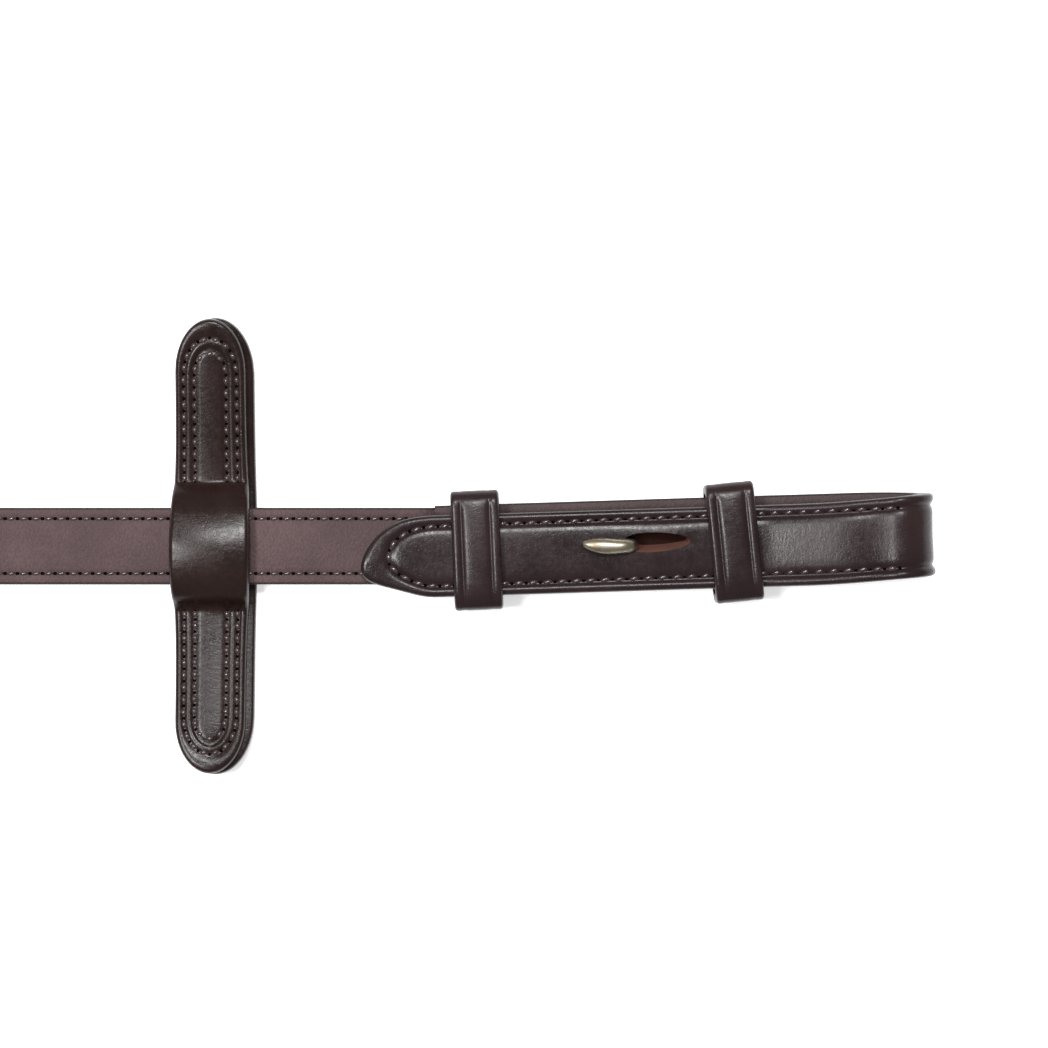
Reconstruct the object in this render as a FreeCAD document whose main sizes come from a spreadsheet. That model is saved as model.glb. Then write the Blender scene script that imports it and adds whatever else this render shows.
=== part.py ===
import FreeCAD, Part
import math
import os

import Sketcher

# A pair of leather riding reins: two straps joined by a buckle at the centre, each with a rein stop and a
# hook-stud bit end. Millimetres, +Z up. The origin is on the ground at the centre buckle. +X points along the
# object to the right bit end, and the left half is the right half turned 180 degrees about Z.
# The stored length of both straps is wound on edge round the buckle, and each strap then twists flat.

V = FreeCAD.Vector
UP = V(0, 0, 1)

SIZES = (
    ("strap_width", 16.0, "width of every strap"),
    ("leather_thick", 2.2, "outer leather"),
    ("lining_thick", 1.2, "inner layer"),
    ("strap_lift", 2.2, "underside of a flat strap above the ground"),
    ("layer_gap", 0.3, "air between billet base and tail"),
    ("splice_place", 299.0, "splice of rein and billet, along X"),
    ("end_shift", -1.1, "bit end off the rein's centre line at the splice"),
    ("end_yaw", 1.8, "bit end turned from the rein, degrees"),
    ("tail_lap", 15.6, "tail tip past the splice"),
    ("tip_radius", 7.0, "rounding of the tail's tip"),
    ("bit_reach", 103.5, "splice to the outside of the bit loop"),
    ("bit_radius", 4.0, "inside of the bit loop"),
    ("loop_start", 68.0, "splice to where base and tail part"),
    ("loop_ease", 25.0, "bend where base and tail part"),
    ("slot_place", 45.8, "splice to the middle of the hook slot"),
    ("slot_length", 14.2, "hook slot, end to end"),
    ("slot_width", 4.0, "hook slot, across"),
    ("stud_place", 40.6, "splice to the hook's neck"),
    ("stud_radius", 1.5, "hook wire"),
    ("hook_bend", 2.2, "bend of the hook"),
    ("hook_height", 10.9, "hook's centre line above the ground"),
    ("hook_reach", 10.4, "hook tip from its neck"),
    ("plate_length", 12.0, "hook plate along the strap"),
    ("plate_width", 9.0, "hook plate across the strap"),
    ("plate_thick", 0.8, "hook plate"),
    ("keeper_width", 10.0, "keeper along the strap"),
    ("keeper_span", 24.8, "keeper across the strap"),
    ("keeper_wall", 1.9, "keeper leather"),
    ("keeper_height", 11.65, "keeper, ground to top"),
    ("keeper_corner", 2.4, "outer corner of a keeper"),
    ("fixed_keeper_place", 61.9, "splice to the fixed keeper"),
    ("runner_place", 8.5, "splice to the runner keeper"),
    ("stop_place", 252.7, "rein stop, along X"),
    ("stop_length", 95.2, "rein stop across the rein"),
    ("stop_width", 18.0, "rein stop along the rein"),
    ("stop_back_thick", 1.9, "back layer of a stop"),
    ("stop_front_thick", 2.1, "front layer of a stop"),
    ("stop_arch", 6.1, "underside of the front layer over the rein"),
    ("arch_half", 9.4, "half of the arch at its top"),
    ("arch_foot", 13.6, "half of the arch at its foot"),
    ("arch_bend", 4.0, "bends of the arch"),
    ("stitch_long", 1.9, "one stitch, along its row"),
    ("stitch_wide", 0.6, "one stitch, across its row"),
    ("stitch_proud", 0.15, "stitch above the leather"),
    ("stitch_sunk", 0.5, "stitch in the leather"),
    ("rein_pitch", 2.6, "stitches of rein and stop"),
    ("billet_pitch", 3.0, "stitches of the billet"),
    ("stitch_inset", 2.3, "stitch row in from the strap's edge"),
    ("turn_gap", 5.8, "between the middles of neighbouring turns"),
    ("turn_half", 82.5, "coil centre to the centre of its end bends"),
    ("first_bend", 12.0, "innermost bend of the coil"),
    ("edge_lift", 0.8, "strap on edge above the ground"),
    ("window_length", 90.0, "clear middle of the coil, along X"),
    ("window_width", 32.0, "clear middle of the coil, along Y"),
    ("twist_start", 145.0, "where the strap begins to turn flat, along X"),
    ("flat_start", 210.0, "where the strap lies flat, along X"),
    ("tie_place", 62.0, "tie off the coil's centre"),
    ("tie_width", 8.0, "tie along X"),
    ("tie_thick", 0.8, "tie leather"),
    ("buckle_length", 23.0, "centre buckle along X"),
    ("buckle_height", 22.6, "centre buckle on edge"),
    ("buckle_wire", 3.0, "buckle frame section"),
    ("buckle_corner", 3.6, "outer corner of the buckle frame"),
    ("buckle_tilt", 10.0, "frame turned from the strap, degrees"),
    ("bar_place", 6.0, "buckle bar, along X"),
    ("bar_gap", 0.3, "air between bar and chape"),
    ("pin_gap", 0.06, "running gap of the tongue on the bar"),
    ("tongue_radius", 1.2, "tongue wire"),
    ("tongue_eye", 2.9, "outside of the tongue's eye"),
    ("tongue_width", 3.4, "tongue's eye along the bar"),
    ("tongue_slot", 4.6, "slot in the chape for the tongue"),
    ("tongue_reach", 21.5, "tongue tip from the bar"),
    ("tongue_tilt", 19.0, "tongue turned from the strap, degrees"),
    ("chape_reach", 30.0, "chape's ends, along X"),
    ("point_reach", 40.0, "tip of the point end, along X"),
    ("point_thick", 3.0, "point end leather"),
    ("point_shift", 5.9, "point end beside the chape"),
    ("point_bend", 12.0, "bends of the point end"),
    ("hole_length", 10.0, "hole in the point end, along X"),
    ("hole_width", 4.0, "hole in the point end, across"),
    ("hole_pitch", 18.0, "between holes of the point end"),
    ("centre_keeper_place", 22.0, "keeper of the centre buckle, along X"),
)
STRIP_SECTIONS = 32  # sections of a bent strap

os.makedirs("parts", exist_ok=True)
doc = FreeCAD.newDocument("LeatherReins")
sheet = doc.addObject("Spreadsheet::Sheet", "Sizes")
for row, (alias, value, meaning) in enumerate(SIZES, start=1):
    sheet.set("A%d" % row, meaning)
    sheet.set("B%d" % row, str(value))
    sheet.setAlias("B%d" % row, alias)
doc.recompute()

nodes = []


def size(alias):
    return float(sheet.get(alias))


def bind(obj, **formulas):
    """Bind properties to the sheet: words in a formula are its aliases."""
    for prop, formula in formulas.items():
        obj.setExpression(prop.replace("__", "."), formula)


def keep(obj, node):
    """Name a finished sub-part, so that it is written to its own file."""
    obj.Label = node
    nodes.append(obj)
    return obj


# ---------------------------------------------------------------- placing

ORIGIN = ("0 mm", "0 mm", "0 mm")


def place(obj, x, y, z, axis=UP, angle="0 deg"):
    """Put an object where sheet formulas say."""
    obj.Placement = FreeCAD.Placement(V(), FreeCAD.Rotation(axis, 1))
    bind(obj, Placement__Base__x=x, Placement__Base__y=y, Placement__Base__z=z)
    bind(obj, Placement__Rotation__Angle=angle)


def place_in_end(obj, side):
    """Put an object made in a bit end's own frame, which starts at the splice, on its half."""
    sign = "" if side == "right" else "-"
    turn = "0" if side == "right" else "180"
    place(
        obj,
        sign + "Sizes.splice_place * 1 mm",
        sign + "Sizes.end_shift * 1 mm",
        "0 mm",
        angle="(%s + Sizes.end_yaw) * 1 deg" % turn,
    )


def place_stop(obj, side):
    """Put an object made round a rein stop's centre on its half."""
    sign = "" if side == "right" else "-"
    place(obj, sign + "Sizes.stop_place * 1 mm", "0 mm", "0 mm", angle="0 deg" if side == "right" else "180 deg")


# ---------------------------------------------------------------- drawing


def bent_wire(points, radii):
    """Straight runs joined by tangent arcs, one radius for each inner point."""
    edges, start = [], points[0]
    for before, corner, after, radius in zip(points, points[1:], points[2:], radii):
        back = (before - corner).normalize()
        ahead = (after - corner).normalize()
        half = back.getAngle(ahead) / 2
        reach = radius / math.tan(half)
        middle = (back + ahead).normalize()
        top = corner + middle * (radius / math.sin(half) - radius)
        first, last = corner + back * reach, corner + ahead * reach
        if start.distanceToPoint(first) > 1e-4:
            edges.append(Part.LineSegment(start, first).toShape())
        edges.append(Part.Arc(first, top, last).toShape())
        start = last
    if start.distanceToPoint(points[-1]) > 1e-4:
        edges.append(Part.LineSegment(start, points[-1]).toShape())
    return Part.Wire(edges)


def ribbon(name, wire, thickness, direction, width):
    """A strip of leather: one side follows the wire, the rest is offset and extruded."""
    line = doc.addObject("Part::Feature", name + "_line")
    line.Shape = wire
    section = doc.addObject("Part::Offset2D", name + "_section")
    section.Source = line
    section.Mode = "Skin"
    section.Fill = True
    bind(section, Value=thickness)
    strip = doc.addObject("Part::Extrusion", name + "_strip")
    strip.Base = section
    strip.Dir = direction
    strip.Symmetric = True
    strip.Solid = True
    bind(strip, LengthFwd=width)
    return strip


def box(name, lengths, corner):
    """A box whose three lengths and lowest corner are sheet formulas."""
    block = doc.addObject("Part::Box", name)
    bind(block, Length=lengths[0], Width=lengths[1], Height=lengths[2])
    place(block, *corner)
    return block


def cylinder(name, radius, height, corner, axis=UP, angle="0 deg"):
    rod = doc.addObject("Part::Cylinder", name)
    bind(rod, Radius=radius, Height=height)
    place(rod, *corner, axis=axis, angle=angle)
    return rod


def boolean(kind, name, base, tool):
    """kind is Cut, Common or Fuse."""
    result = doc.addObject("Part::" + kind, name)
    result.Base = base
    result.Tool = tool
    return result


def origin_plane(body, role):
    return next(f for f in body.Origin.OriginFeatures if f.Role == role)


def new_sketch(body, name, role):
    sketch = body.newObject("Sketcher::SketchObject", name)
    sketch.AttachmentSupport = [(origin_plane(body, role), "")]
    sketch.MapMode = "FlatFace"
    return sketch


def constrain(sketch, *args, formula=None):
    """Add one constraint, and bind its value to the sheet if it has a formula."""
    index = sketch.addConstraint(Sketcher.Constraint(*args))
    if formula:
        sketch.setExpression("Constraints[%d]" % index, formula)


def value_of(sketch, formula):
    return float(sketch.evalExpression(formula))


def draw_rounded_rect(sketch, across, along, radius, centre_across="0", centre_along="0"):
    """A rectangle with round corners, whose sizes and centre are sheet formulas."""
    first = sketch.GeometryCount
    bend = value_of(sketch, radius)
    apart_x = "(%s) - 2 * (%s)" % (across, radius)
    apart_y = "(%s) - 2 * (%s)" % (along, radius)
    corner_x = "(%s) + (%s) / 2 - (%s)" % (centre_across, across, radius)
    corner_y = "(%s) + (%s) / 2 - (%s)" % (centre_along, along, radius)
    high_x, high_y = value_of(sketch, corner_x), value_of(sketch, corner_y)
    low_x, low_y = high_x - value_of(sketch, apart_x), high_y - value_of(sketch, apart_y)
    corners = ((high_x, high_y), (low_x, high_y), (low_x, low_y), (high_x, low_y))
    for quarter, (x, y) in enumerate(corners):
        turn = quarter * math.pi / 2
        sketch.addGeometry(Part.ArcOfCircle(Part.Circle(V(x, y, 0), UP, bend), turn, turn + math.pi / 2), False)
    for here in range(4):
        start = sketch.getPoint(first + here, 2)
        end = sketch.getPoint(first + (here + 1) % 4, 1)
        sketch.addGeometry(Part.LineSegment(start, end), False)
    for here in range(4):
        line = first + 4 + here
        constrain(sketch, "Tangent", first + here, 2, line, 1)
        constrain(sketch, "Tangent", line, 2, first + (here + 1) % 4, 1)
    constrain(sketch, "Horizontal", first + 4)
    constrain(sketch, "Vertical", first + 5)
    for other in range(1, 4):
        constrain(sketch, "Equal", first, first + other)
    constrain(sketch, "Radius", first, bend, formula=radius)
    constrain(sketch, "DistanceX", first + 2, 3, first, 3, high_x - low_x, formula=apart_x)
    constrain(sketch, "DistanceY", first + 2, 3, first, 3, high_y - low_y, formula=apart_y)
    constrain(sketch, "DistanceX", -1, 1, first, 3, high_x, formula=corner_x)
    constrain(sketch, "DistanceY", -1, 1, first, 3, high_y, formula=corner_y)


def draw_slot(sketch, length, width):
    """A slot outline round the origin, longest along the sketch's first axis."""
    apart = "(%s) - (%s)" % (length, width)
    half_width = "(%s) / 2" % width
    reach, radius = value_of(sketch, apart) / 2, value_of(sketch, half_width)
    right = Part.ArcOfCircle(Part.Circle(V(reach, 0, 0), UP, radius), -math.pi / 2, math.pi / 2)
    left = Part.ArcOfCircle(Part.Circle(V(-reach, 0, 0), UP, radius), math.pi / 2, 3 * math.pi / 2)
    sketch.addGeometry([right, left], False)
    sketch.addGeometry(Part.LineSegment(V(reach, radius, 0), V(-reach, radius, 0)), False)
    sketch.addGeometry(Part.LineSegment(V(-reach, -radius, 0), V(reach, -radius, 0)), False)
    constrain(sketch, "Tangent", 0, 2, 2, 1)
    constrain(sketch, "Tangent", 2, 2, 1, 1)
    constrain(sketch, "Tangent", 1, 2, 3, 1)
    constrain(sketch, "Tangent", 3, 2, 0, 1)
    constrain(sketch, "Symmetric", 0, 3, 1, 3, -1, 1)
    constrain(sketch, "Horizontal", 2)
    constrain(sketch, "Radius", 0, radius, formula=half_width)
    constrain(sketch, "DistanceX", 1, 3, 0, 3, 2 * reach, formula=apart)


def pad(body, sketch, length, midplane=False):
    feature = body.newObject("PartDesign::Pad", sketch.Name + "_pad")
    feature.Profile = sketch
    feature.Midplane = midplane
    sketch.Visibility = False
    bind(feature, Length=length)
    return feature


def ring_body(name, role, outer, inner, corner, inner_corner, length, centre=("0", "0")):
    """A closed band: a rounded rectangle padded both ways, with a smaller one pocketed out."""
    body = doc.addObject("PartDesign::Body", name)
    outline = new_sketch(body, name + "_outline", role)
    draw_rounded_rect(outline, outer[0], outer[1], corner, *centre)
    solid = pad(body, outline, length, midplane=True)
    opening = new_sketch(body, name + "_opening", role)
    draw_rounded_rect(opening, inner[0], inner[1], inner_corner, *centre)
    pocket = body.newObject("PartDesign::Pocket", name + "_pocket")
    pocket.Profile = opening
    pocket.Type = "ThroughAll"
    pocket.Midplane = True
    doc.recompute()
    if pocket.Shape.Volume >= solid.Shape.Volume * 0.9:
        raise ValueError(name + ": the pocket cuts nothing")
    return body


def pipe_body(name, path, radius):
    """A round wire along a path sketch that starts at the origin, straight up; path is (body, sketch)."""
    body, spine = path
    section = new_sketch(body, name + "_round", "XY_Plane")
    section.addGeometry(Part.Circle(V(), UP, 1.0), False)
    constrain(section, "Coincident", 0, 3, -1, 1)
    constrain(section, "Radius", 0, 1.0, formula=radius)
    wire = body.newObject("PartDesign::AdditivePipe", name + "_pipe")
    wire.Profile = section
    wire.Spine = (spine, [])
    return body


def stitches(name, rows, pitch, top, axis=V(), angle=0):
    """Rows of separate stitches, sunk into a face at height top; rows are wires drawn flat."""
    long, wide = size("stitch_long"), size("stitch_wide")
    low, deep = top - size("stitch_sunk"), size("stitch_sunk") + size("stitch_proud")
    solids = []
    for row_wire in rows:
        count = max(2, round(row_wire.Length / pitch) + 1)
        points = row_wire.discretize(Number=count)
        for here, ahead in zip(points, points[1:]):
            stitch = Part.makeBox(long, wide, deep, V(-long / 2, -wide / 2, low))
            heading = math.degrees(math.atan2(ahead.y - here.y, ahead.x - here.x))
            stitch.rotate(V(), UP, heading)
            stitch.translate((here + ahead) / 2)
            if angle:
                stitch.rotate(V(), axis, angle)
            solids.append(stitch)
    feature = doc.addObject("Part::Feature", name)
    feature.Shape = Part.makeCompound(solids)
    return feature


# ---------------------------------------------------------------- bit ends


def end_formula(sign, middle, along, turn):
    """One coordinate of a point of a bit end, given how far it is along the end."""
    return "%s(Sizes.%s + (%s) * %s(Sizes.end_yaw * 1 deg)) * 1 mm" % (sign, middle, along, turn)


def place_along_end(obj, side, along, up):
    """Like place_in_end, for an object made round a point of the end."""
    sign = "" if side == "right" else "-"
    turn = "0" if side == "right" else "180"
    x = end_formula(sign, "splice_place", along, "cos")
    y = end_formula(sign, "end_shift", along, "sin")
    place(obj, x, y, "(%s) * 1 mm" % up, angle="(%s + Sizes.end_yaw) * 1 deg" % turn)


def billet_line():
    """The seam between leather and lining: back from the tail's tip, round the bit, along the base."""
    radius = size("bit_radius") + size("lining_thick")
    centre_z = radius + size("leather_thick")
    centre_x = size("bit_reach") - centre_z
    start = size("loop_start")
    base_z = size("strap_lift") + size("leather_thick")
    tail_z = base_z + 2 * size("lining_thick") + size("layer_gap")

    def slope(height, side):
        run, rise = centre_x - start, centre_z - height
        return math.atan2(rise, run) + side * math.asin(radius / math.hypot(run, rise))

    far = centre_x + radius
    upper = tail_z + (far - start) * math.tan(slope(tail_z, 1))
    lower = base_z + (far - start) * math.tan(slope(base_z, -1))
    points = [
        V(-size("tail_lap"), 0, tail_z),
        V(start, 0, tail_z),
        V(far, 0, upper),
        V(far, 0, lower),
        V(start, 0, base_z),
        V(0, 0, base_z),
    ]
    return bent_wire(points, [size("loop_ease"), radius, radius, size("loop_ease")])


def billet_layer(node, side, thickness):
    """Leather (outward) or lining (inward) of the billet, with its rounded tip and hook slot."""
    strip = ribbon(node, billet_line(), thickness, V(0, 1, 0), "Sizes.strap_width")
    outline = doc.addObject("PartDesign::Body", node + "_outline")
    plan = new_sketch(outline, node + "_plan", "XY_Plane")
    room = "Sizes.tip_radius + 10"
    draw_rounded_rect(
        plan,
        "Sizes.bit_reach + Sizes.tail_lap + " + room,
        "Sizes.strap_width",
        "Sizes.tip_radius",
        centre_across="(Sizes.bit_reach - Sizes.tail_lap + %s) / 2" % room,
    )
    pad(outline, plan, "2 * Sizes.bit_reach", midplane=True)
    shaped = boolean("Common", node + "_shaped", strip, outline)

    slot = doc.addObject("PartDesign::Body", node + "_slot")
    slot_plan = new_sketch(slot, node + "_slot_plan", "XY_Plane")
    draw_slot(slot_plan, "Sizes.slot_length", "Sizes.slot_width")
    pad(slot, slot_plan, "Sizes.keeper_height * 1 mm")
    under_tail = "(Sizes.strap_lift + Sizes.leather_thick + Sizes.lining_thick + Sizes.layer_gap / 2) * 1 mm"
    place(slot, "Sizes.slot_place * 1 mm", "0 mm", under_tail)
    return boolean("Cut", node + "_slotted", shaped, slot)


def billet(side):
    leather = billet_layer("billet_" + side, side, "Sizes.leather_thick * 1 mm")
    seat = box(
        "plate_seat_" + side,
        ("Sizes.plate_length * 1 mm", "Sizes.plate_width * 1 mm", "Sizes.plate_thick * 1 mm"),
        (
            "(Sizes.stud_place - Sizes.plate_length / 2) * 1 mm",
            "-Sizes.plate_width / 2 * 1 mm",
            "(Sizes.strap_lift + Sizes.leather_thick - Sizes.plate_thick) * 1 mm",
        ),
    )
    whole = boolean("Cut", "billet_leather_" + side, leather, seat)
    place_in_end(whole, side)
    keep(whole, "billet_" + side)


def billet_lining(side):
    lining = billet_layer("billet_lining_" + side, side, "-Sizes.lining_thick * 1 mm")
    neck_hole = cylinder(
        "neck_hole_" + side,
        "Sizes.stud_radius * 1 mm",
        "(Sizes.lining_thick + Sizes.layer_gap / 2) * 1 mm",
        ("Sizes.stud_place * 1 mm", "0 mm", "(Sizes.strap_lift + Sizes.leather_thick) * 1 mm"),
    )
    whole = boolean("Cut", "billet_inside_" + side, lining, neck_hole)
    place_in_end(whole, side)
    keep(whole, "billet_lining_" + side)


def billet_stitching(side):
    """One row runs down the tail, round its tip and back, as far as the flat of the tail goes."""
    edge = size("strap_width") / 2 - size("stitch_inset")
    tip = size("stitch_inset") - size("tail_lap")
    end = size("loop_start") - size("loop_ease") / 10
    corners = [V(end, -edge, 0), V(tip, -edge, 0), V(tip, edge, 0), V(end, edge, 0)]
    round_tip = size("tip_radius") - size("stitch_inset")
    layers = 2 * (size("leather_thick") + size("lining_thick")) + size("layer_gap")
    row_wire = bent_wire(corners, [round_tip, round_tip])
    top = size("strap_lift") + layers
    group = stitches("billet_thread_" + side, [row_wire], size("billet_pitch"), top)
    place_in_end(group, side)
    keep(group, "billet_stitching_" + side)


def hook_stud(side):
    """A wire that stands on the plate, comes up through the slot and bends back from the bit."""
    body = doc.addObject("PartDesign::Body", "hook_wire_" + side)
    path = new_sketch(body, "hook_path_" + side, "XZ_Plane")
    seat = "(Sizes.strap_lift + Sizes.leather_thick - Sizes.plate_thick)"
    bend, reach = size("hook_bend"), size("hook_reach")
    rise = value_of(path, "Sizes.hook_height - " + seat) - bend
    path.addGeometry(Part.LineSegment(V(0, 0, 0), V(0, rise, 0)), False)
    path.addGeometry(Part.ArcOfCircle(Part.Circle(V(-bend, rise, 0), UP, bend), 0, math.pi / 2), False)
    path.addGeometry(Part.LineSegment(V(-bend, rise + bend, 0), V(-reach, rise + bend, 0)), False)
    constrain(path, "Coincident", 0, 1, -1, 1)
    constrain(path, "Vertical", 0)
    constrain(path, "Tangent", 0, 2, 1, 1)
    constrain(path, "Tangent", 1, 2, 2, 1)
    constrain(path, "Horizontal", 2)
    constrain(path, "Radius", 1, bend, formula="Sizes.hook_bend")
    constrain(path, "DistanceY", -1, 1, 2, 2, rise + bend, formula="Sizes.hook_height - " + seat)
    constrain(path, "DistanceX", 2, 2, -1, 1, reach, formula="Sizes.hook_reach")
    pipe_body("hook_" + side, (body, path), "Sizes.stud_radius")
    place_along_end(body, side, "Sizes.stud_place", seat)
    keep(body, "hook_stud_" + side)


def hook_plate(side):
    """The plate sewn inside the billet base, with the hook's neck riveted through it."""
    lengths = ("Sizes.plate_length * 1 mm", "Sizes.plate_width * 1 mm", "Sizes.plate_thick * 1 mm")
    corner = ("-Sizes.plate_length / 2 * 1 mm", "-Sizes.plate_width / 2 * 1 mm", "0 mm")
    plate = box("plate_blank_" + side, lengths, corner)
    hole = cylinder("plate_hole_" + side, "Sizes.stud_radius * 1 mm", lengths[2], ORIGIN)
    whole = boolean("Cut", "plate_" + side, plate, hole)
    seat = "(Sizes.strap_lift + Sizes.leather_thick - Sizes.plate_thick)"
    place_along_end(whole, side, "Sizes.stud_place", seat)
    keep(whole, "hook_plate_" + side)


def keeper(kind, side, along):
    """A leather loop that holds the tail down on the base."""
    wall = "2 * Sizes.keeper_wall"
    body = ring_body(
        "%s_keeper_band_%s" % (kind, side),
        "YZ_Plane",
        ("Sizes.keeper_span", "Sizes.keeper_height"),
        ("(Sizes.keeper_span - %s)" % wall, "(Sizes.keeper_height - %s)" % wall),
        "Sizes.keeper_corner",
        "Sizes.keeper_corner / 2",
        "Sizes.keeper_width * 1 mm",
        centre=("0", "Sizes.keeper_height / 2"),
    )
    place_along_end(body, side, along, "0")
    keep(body, "%s_keeper_%s" % (kind, side))


# ---------------------------------------------------------------- rein stops


def stop_outline(name, thickness):
    """The stop's plan, a slot outline, padded up from the ground."""
    body = doc.addObject("PartDesign::Body", name)
    plan = new_sketch(body, name + "_plan", "XY_Plane")
    draw_slot(plan, "Sizes.stop_length", "Sizes.stop_width")
    pad(body, plan, thickness)
    return body


def stop_back(side):
    body = stop_outline("stop_back_layer_" + side, "Sizes.stop_back_thick * 1 mm")
    place(
        body,
        ("" if side == "right" else "-") + "Sizes.stop_place * 1 mm",
        "0 mm",
        "0 mm",
        angle="90 deg" if side == "right" else "270 deg",
    )
    keep(body, "stop_back_" + side)


def stop_front(side):
    """The front layer lies on the back one and arches over the rein."""
    tip, foot, half = size("stop_length") / 2, size("arch_foot"), size("arch_half")
    low, high = size("stop_back_thick"), size("stop_arch")
    corners = [(-tip, low), (-foot, low), (-half, high), (half, high), (foot, low), (tip, low)]
    line = bent_wire([V(0, y, z) for y, z in reversed(corners)], [size("arch_bend")] * 4)
    strip = ribbon("stop_arch_" + side, line, "Sizes.stop_front_thick * 1 mm", V(1, 0, 0), "Sizes.stop_width")
    outline = stop_outline("stop_front_outline_" + side, "Sizes.keeper_height * 1 mm")
    place(outline, *ORIGIN, angle="90 deg")
    whole = boolean("Common", "stop_front_layer_" + side, strip, outline)
    place_stop(whole, side)
    keep(whole, "stop_front_" + side)


def stop_stitching(side):
    """Two rows, one inside the other, run round each end of the stop."""
    rows = []
    for inset in (size("stitch_inset") + 1.1, size("stitch_inset") + 3.2):
        half = size("stop_width") / 2 - inset
        start, tip = size("arch_foot") + 1.5, size("stop_length") / 2 - inset - 0.8
        for end in (1, -1):
            corners = [(-half, start), (-half, tip), (half, tip), (half, start)]
            points = [V(x, end * y, 0) for x, y in corners]
            rows.append(bent_wire(points, [half - 0.2] * 2))
    top = size("stop_back_thick") + size("stop_front_thick")
    group = stitches("stop_thread_" + side, rows, size("rein_pitch"), top)
    place_stop(group, side)
    keep(group, "stop_stitching_" + side)


# ---------------------------------------------------------------- rein straps


# The right rein's route: along its last turn, out of the coil on edge, then down as it twists flat, and straight
# to the splice. The left rein's is the same, turned about the origin.
ROUTE = (
    (58.0, -41.4, 8.8),
    (107.4, -41.4, 8.8),
    (135.1, 0.0, 8.8),
    (181.0, 0.0, 9.4),
    (200.0, 0.0, 3.9),
    (299.0, 0.0, 3.9),
)
ROUTE_SHARE = 0.45


def route_wire():
    """The route's straight runs, joined by arcs as large as the runs allow."""
    points = [V(*place_on_route) for place_on_route in ROUTE]
    radii = []
    for before, corner, after in zip(points, points[1:], points[2:]):
        turn = (corner - before).getAngle(after - corner)
        shorter = min(before.distanceToPoint(corner), corner.distanceToPoint(after))
        radii.append(ROUTE_SHARE * shorter / math.tan(turn / 2))
    return bent_wire(points, radii), radii


def strap_layer(side, inner, outer):
    """One layer of the rein from the coil to the splice, on edge at first and then twisted flat.

    inner and outer are the layer's faces, measured from the strap's middle towards its outer face.
    """
    wire, radii = route_wire()
    start, flat = size("turn_half"), size("flat_start")
    first, last = V(start, ROUTE[0][1], ROUTE[0][2]), V(*ROUTE[-1])
    points = [first] + [p for p in wire.discretize(Number=3 * STRIP_SECTIONS) if start + 1 < p.x < flat - 1]
    points += [V(flat, last.y, last.z), last]
    hand = 1 if side == "right" else -1
    half_width = size("strap_width") / 2
    twist_start = size("twist_start")
    sections, length = [], 0.0
    for index, point in enumerate(points):
        ahead = points[min(index + 1, len(points) - 1)]
        behind = points[max(index - 1, 0)]
        length += point.distanceToPoint(behind)
        heading = V(1, 0, 0) if index in (0, len(points) - 1) else (ahead - behind).normalize()
        done = min(max((point.x - twist_start) / (flat - twist_start), 0.0), 1.0)
        roll = done * done * (3 - 2 * done) * math.pi / 2
        beside = heading.cross(UP).normalize()
        above = beside.cross(heading)
        face = beside * (hand * math.cos(roll)) - above * math.sin(roll)
        across = above * math.cos(roll) + beside * (hand * math.sin(roll))
        corners = [
            point + face * depth + across * edge
            for depth, edge in (
                (inner, -half_width),
                (outer, -half_width),
                (outer, half_width),
                (inner, half_width),
            )
        ]
        sections.append(Part.makePolygon(corners + corners[:1]))
    strap = Part.makeLoft(sections, True, True)
    share = strap.Volume / (length * 2 * half_width * (outer - inner))
    print("rein layer: radii %s mm, volume %.3f of section times length" % ([round(r) for r in radii], share))
    return strap


def rein_layer(node, side, inner, outer):
    feature = doc.addObject("Part::Feature", node + "_strip")
    feature.Shape = strap_layer(side, inner, outer)
    place(feature, *ORIGIN, angle="0 deg" if side == "right" else "180 deg")
    keep(feature, node)


def rein(side):
    half = (size("leather_thick") + size("lining_thick")) / 2
    seam = half - size("leather_thick")
    rein_layer("rein_strap_" + side, side, seam, half)
    rein_layer("rein_lining_" + side, side, -half, seam)


def rein_stitching(side):
    """A row along each edge of the flat stretch."""
    edge = size("strap_width") / 2 - size("stitch_inset")
    ends = (size("flat_start") + size("stitch_inset"), size("splice_place") - size("stitch_inset"))
    rows = [Part.makePolygon([V(x, y, 0) for x in ends]) for y in (-edge, edge)]
    top = size("strap_lift") + size("leather_thick") + size("lining_thick")
    group = stitches("rein_thread_" + side, rows, size("rein_pitch"), top)
    place(group, *ORIGIN, angle="0 deg" if side == "right" else "180 deg")
    keep(group, "rein_stitching_" + side)


# ---------------------------------------------------------------- stored coil


HALF_THICK = "(Sizes.leather_thick + Sizes.lining_thick) / 2"
COIL_SIDE = "Sizes.turn_half"
COIL_LEAN = "Sizes.turn_gap / 2"
COIL_BEND = "(2 * Sizes.first_bend + 5 / 2 * Sizes.turn_gap + %s)" % HALF_THICK
COIL_EDGE = "(2 * Sizes.first_bend + 3 * Sizes.turn_gap + %s)" % HALF_THICK


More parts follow.
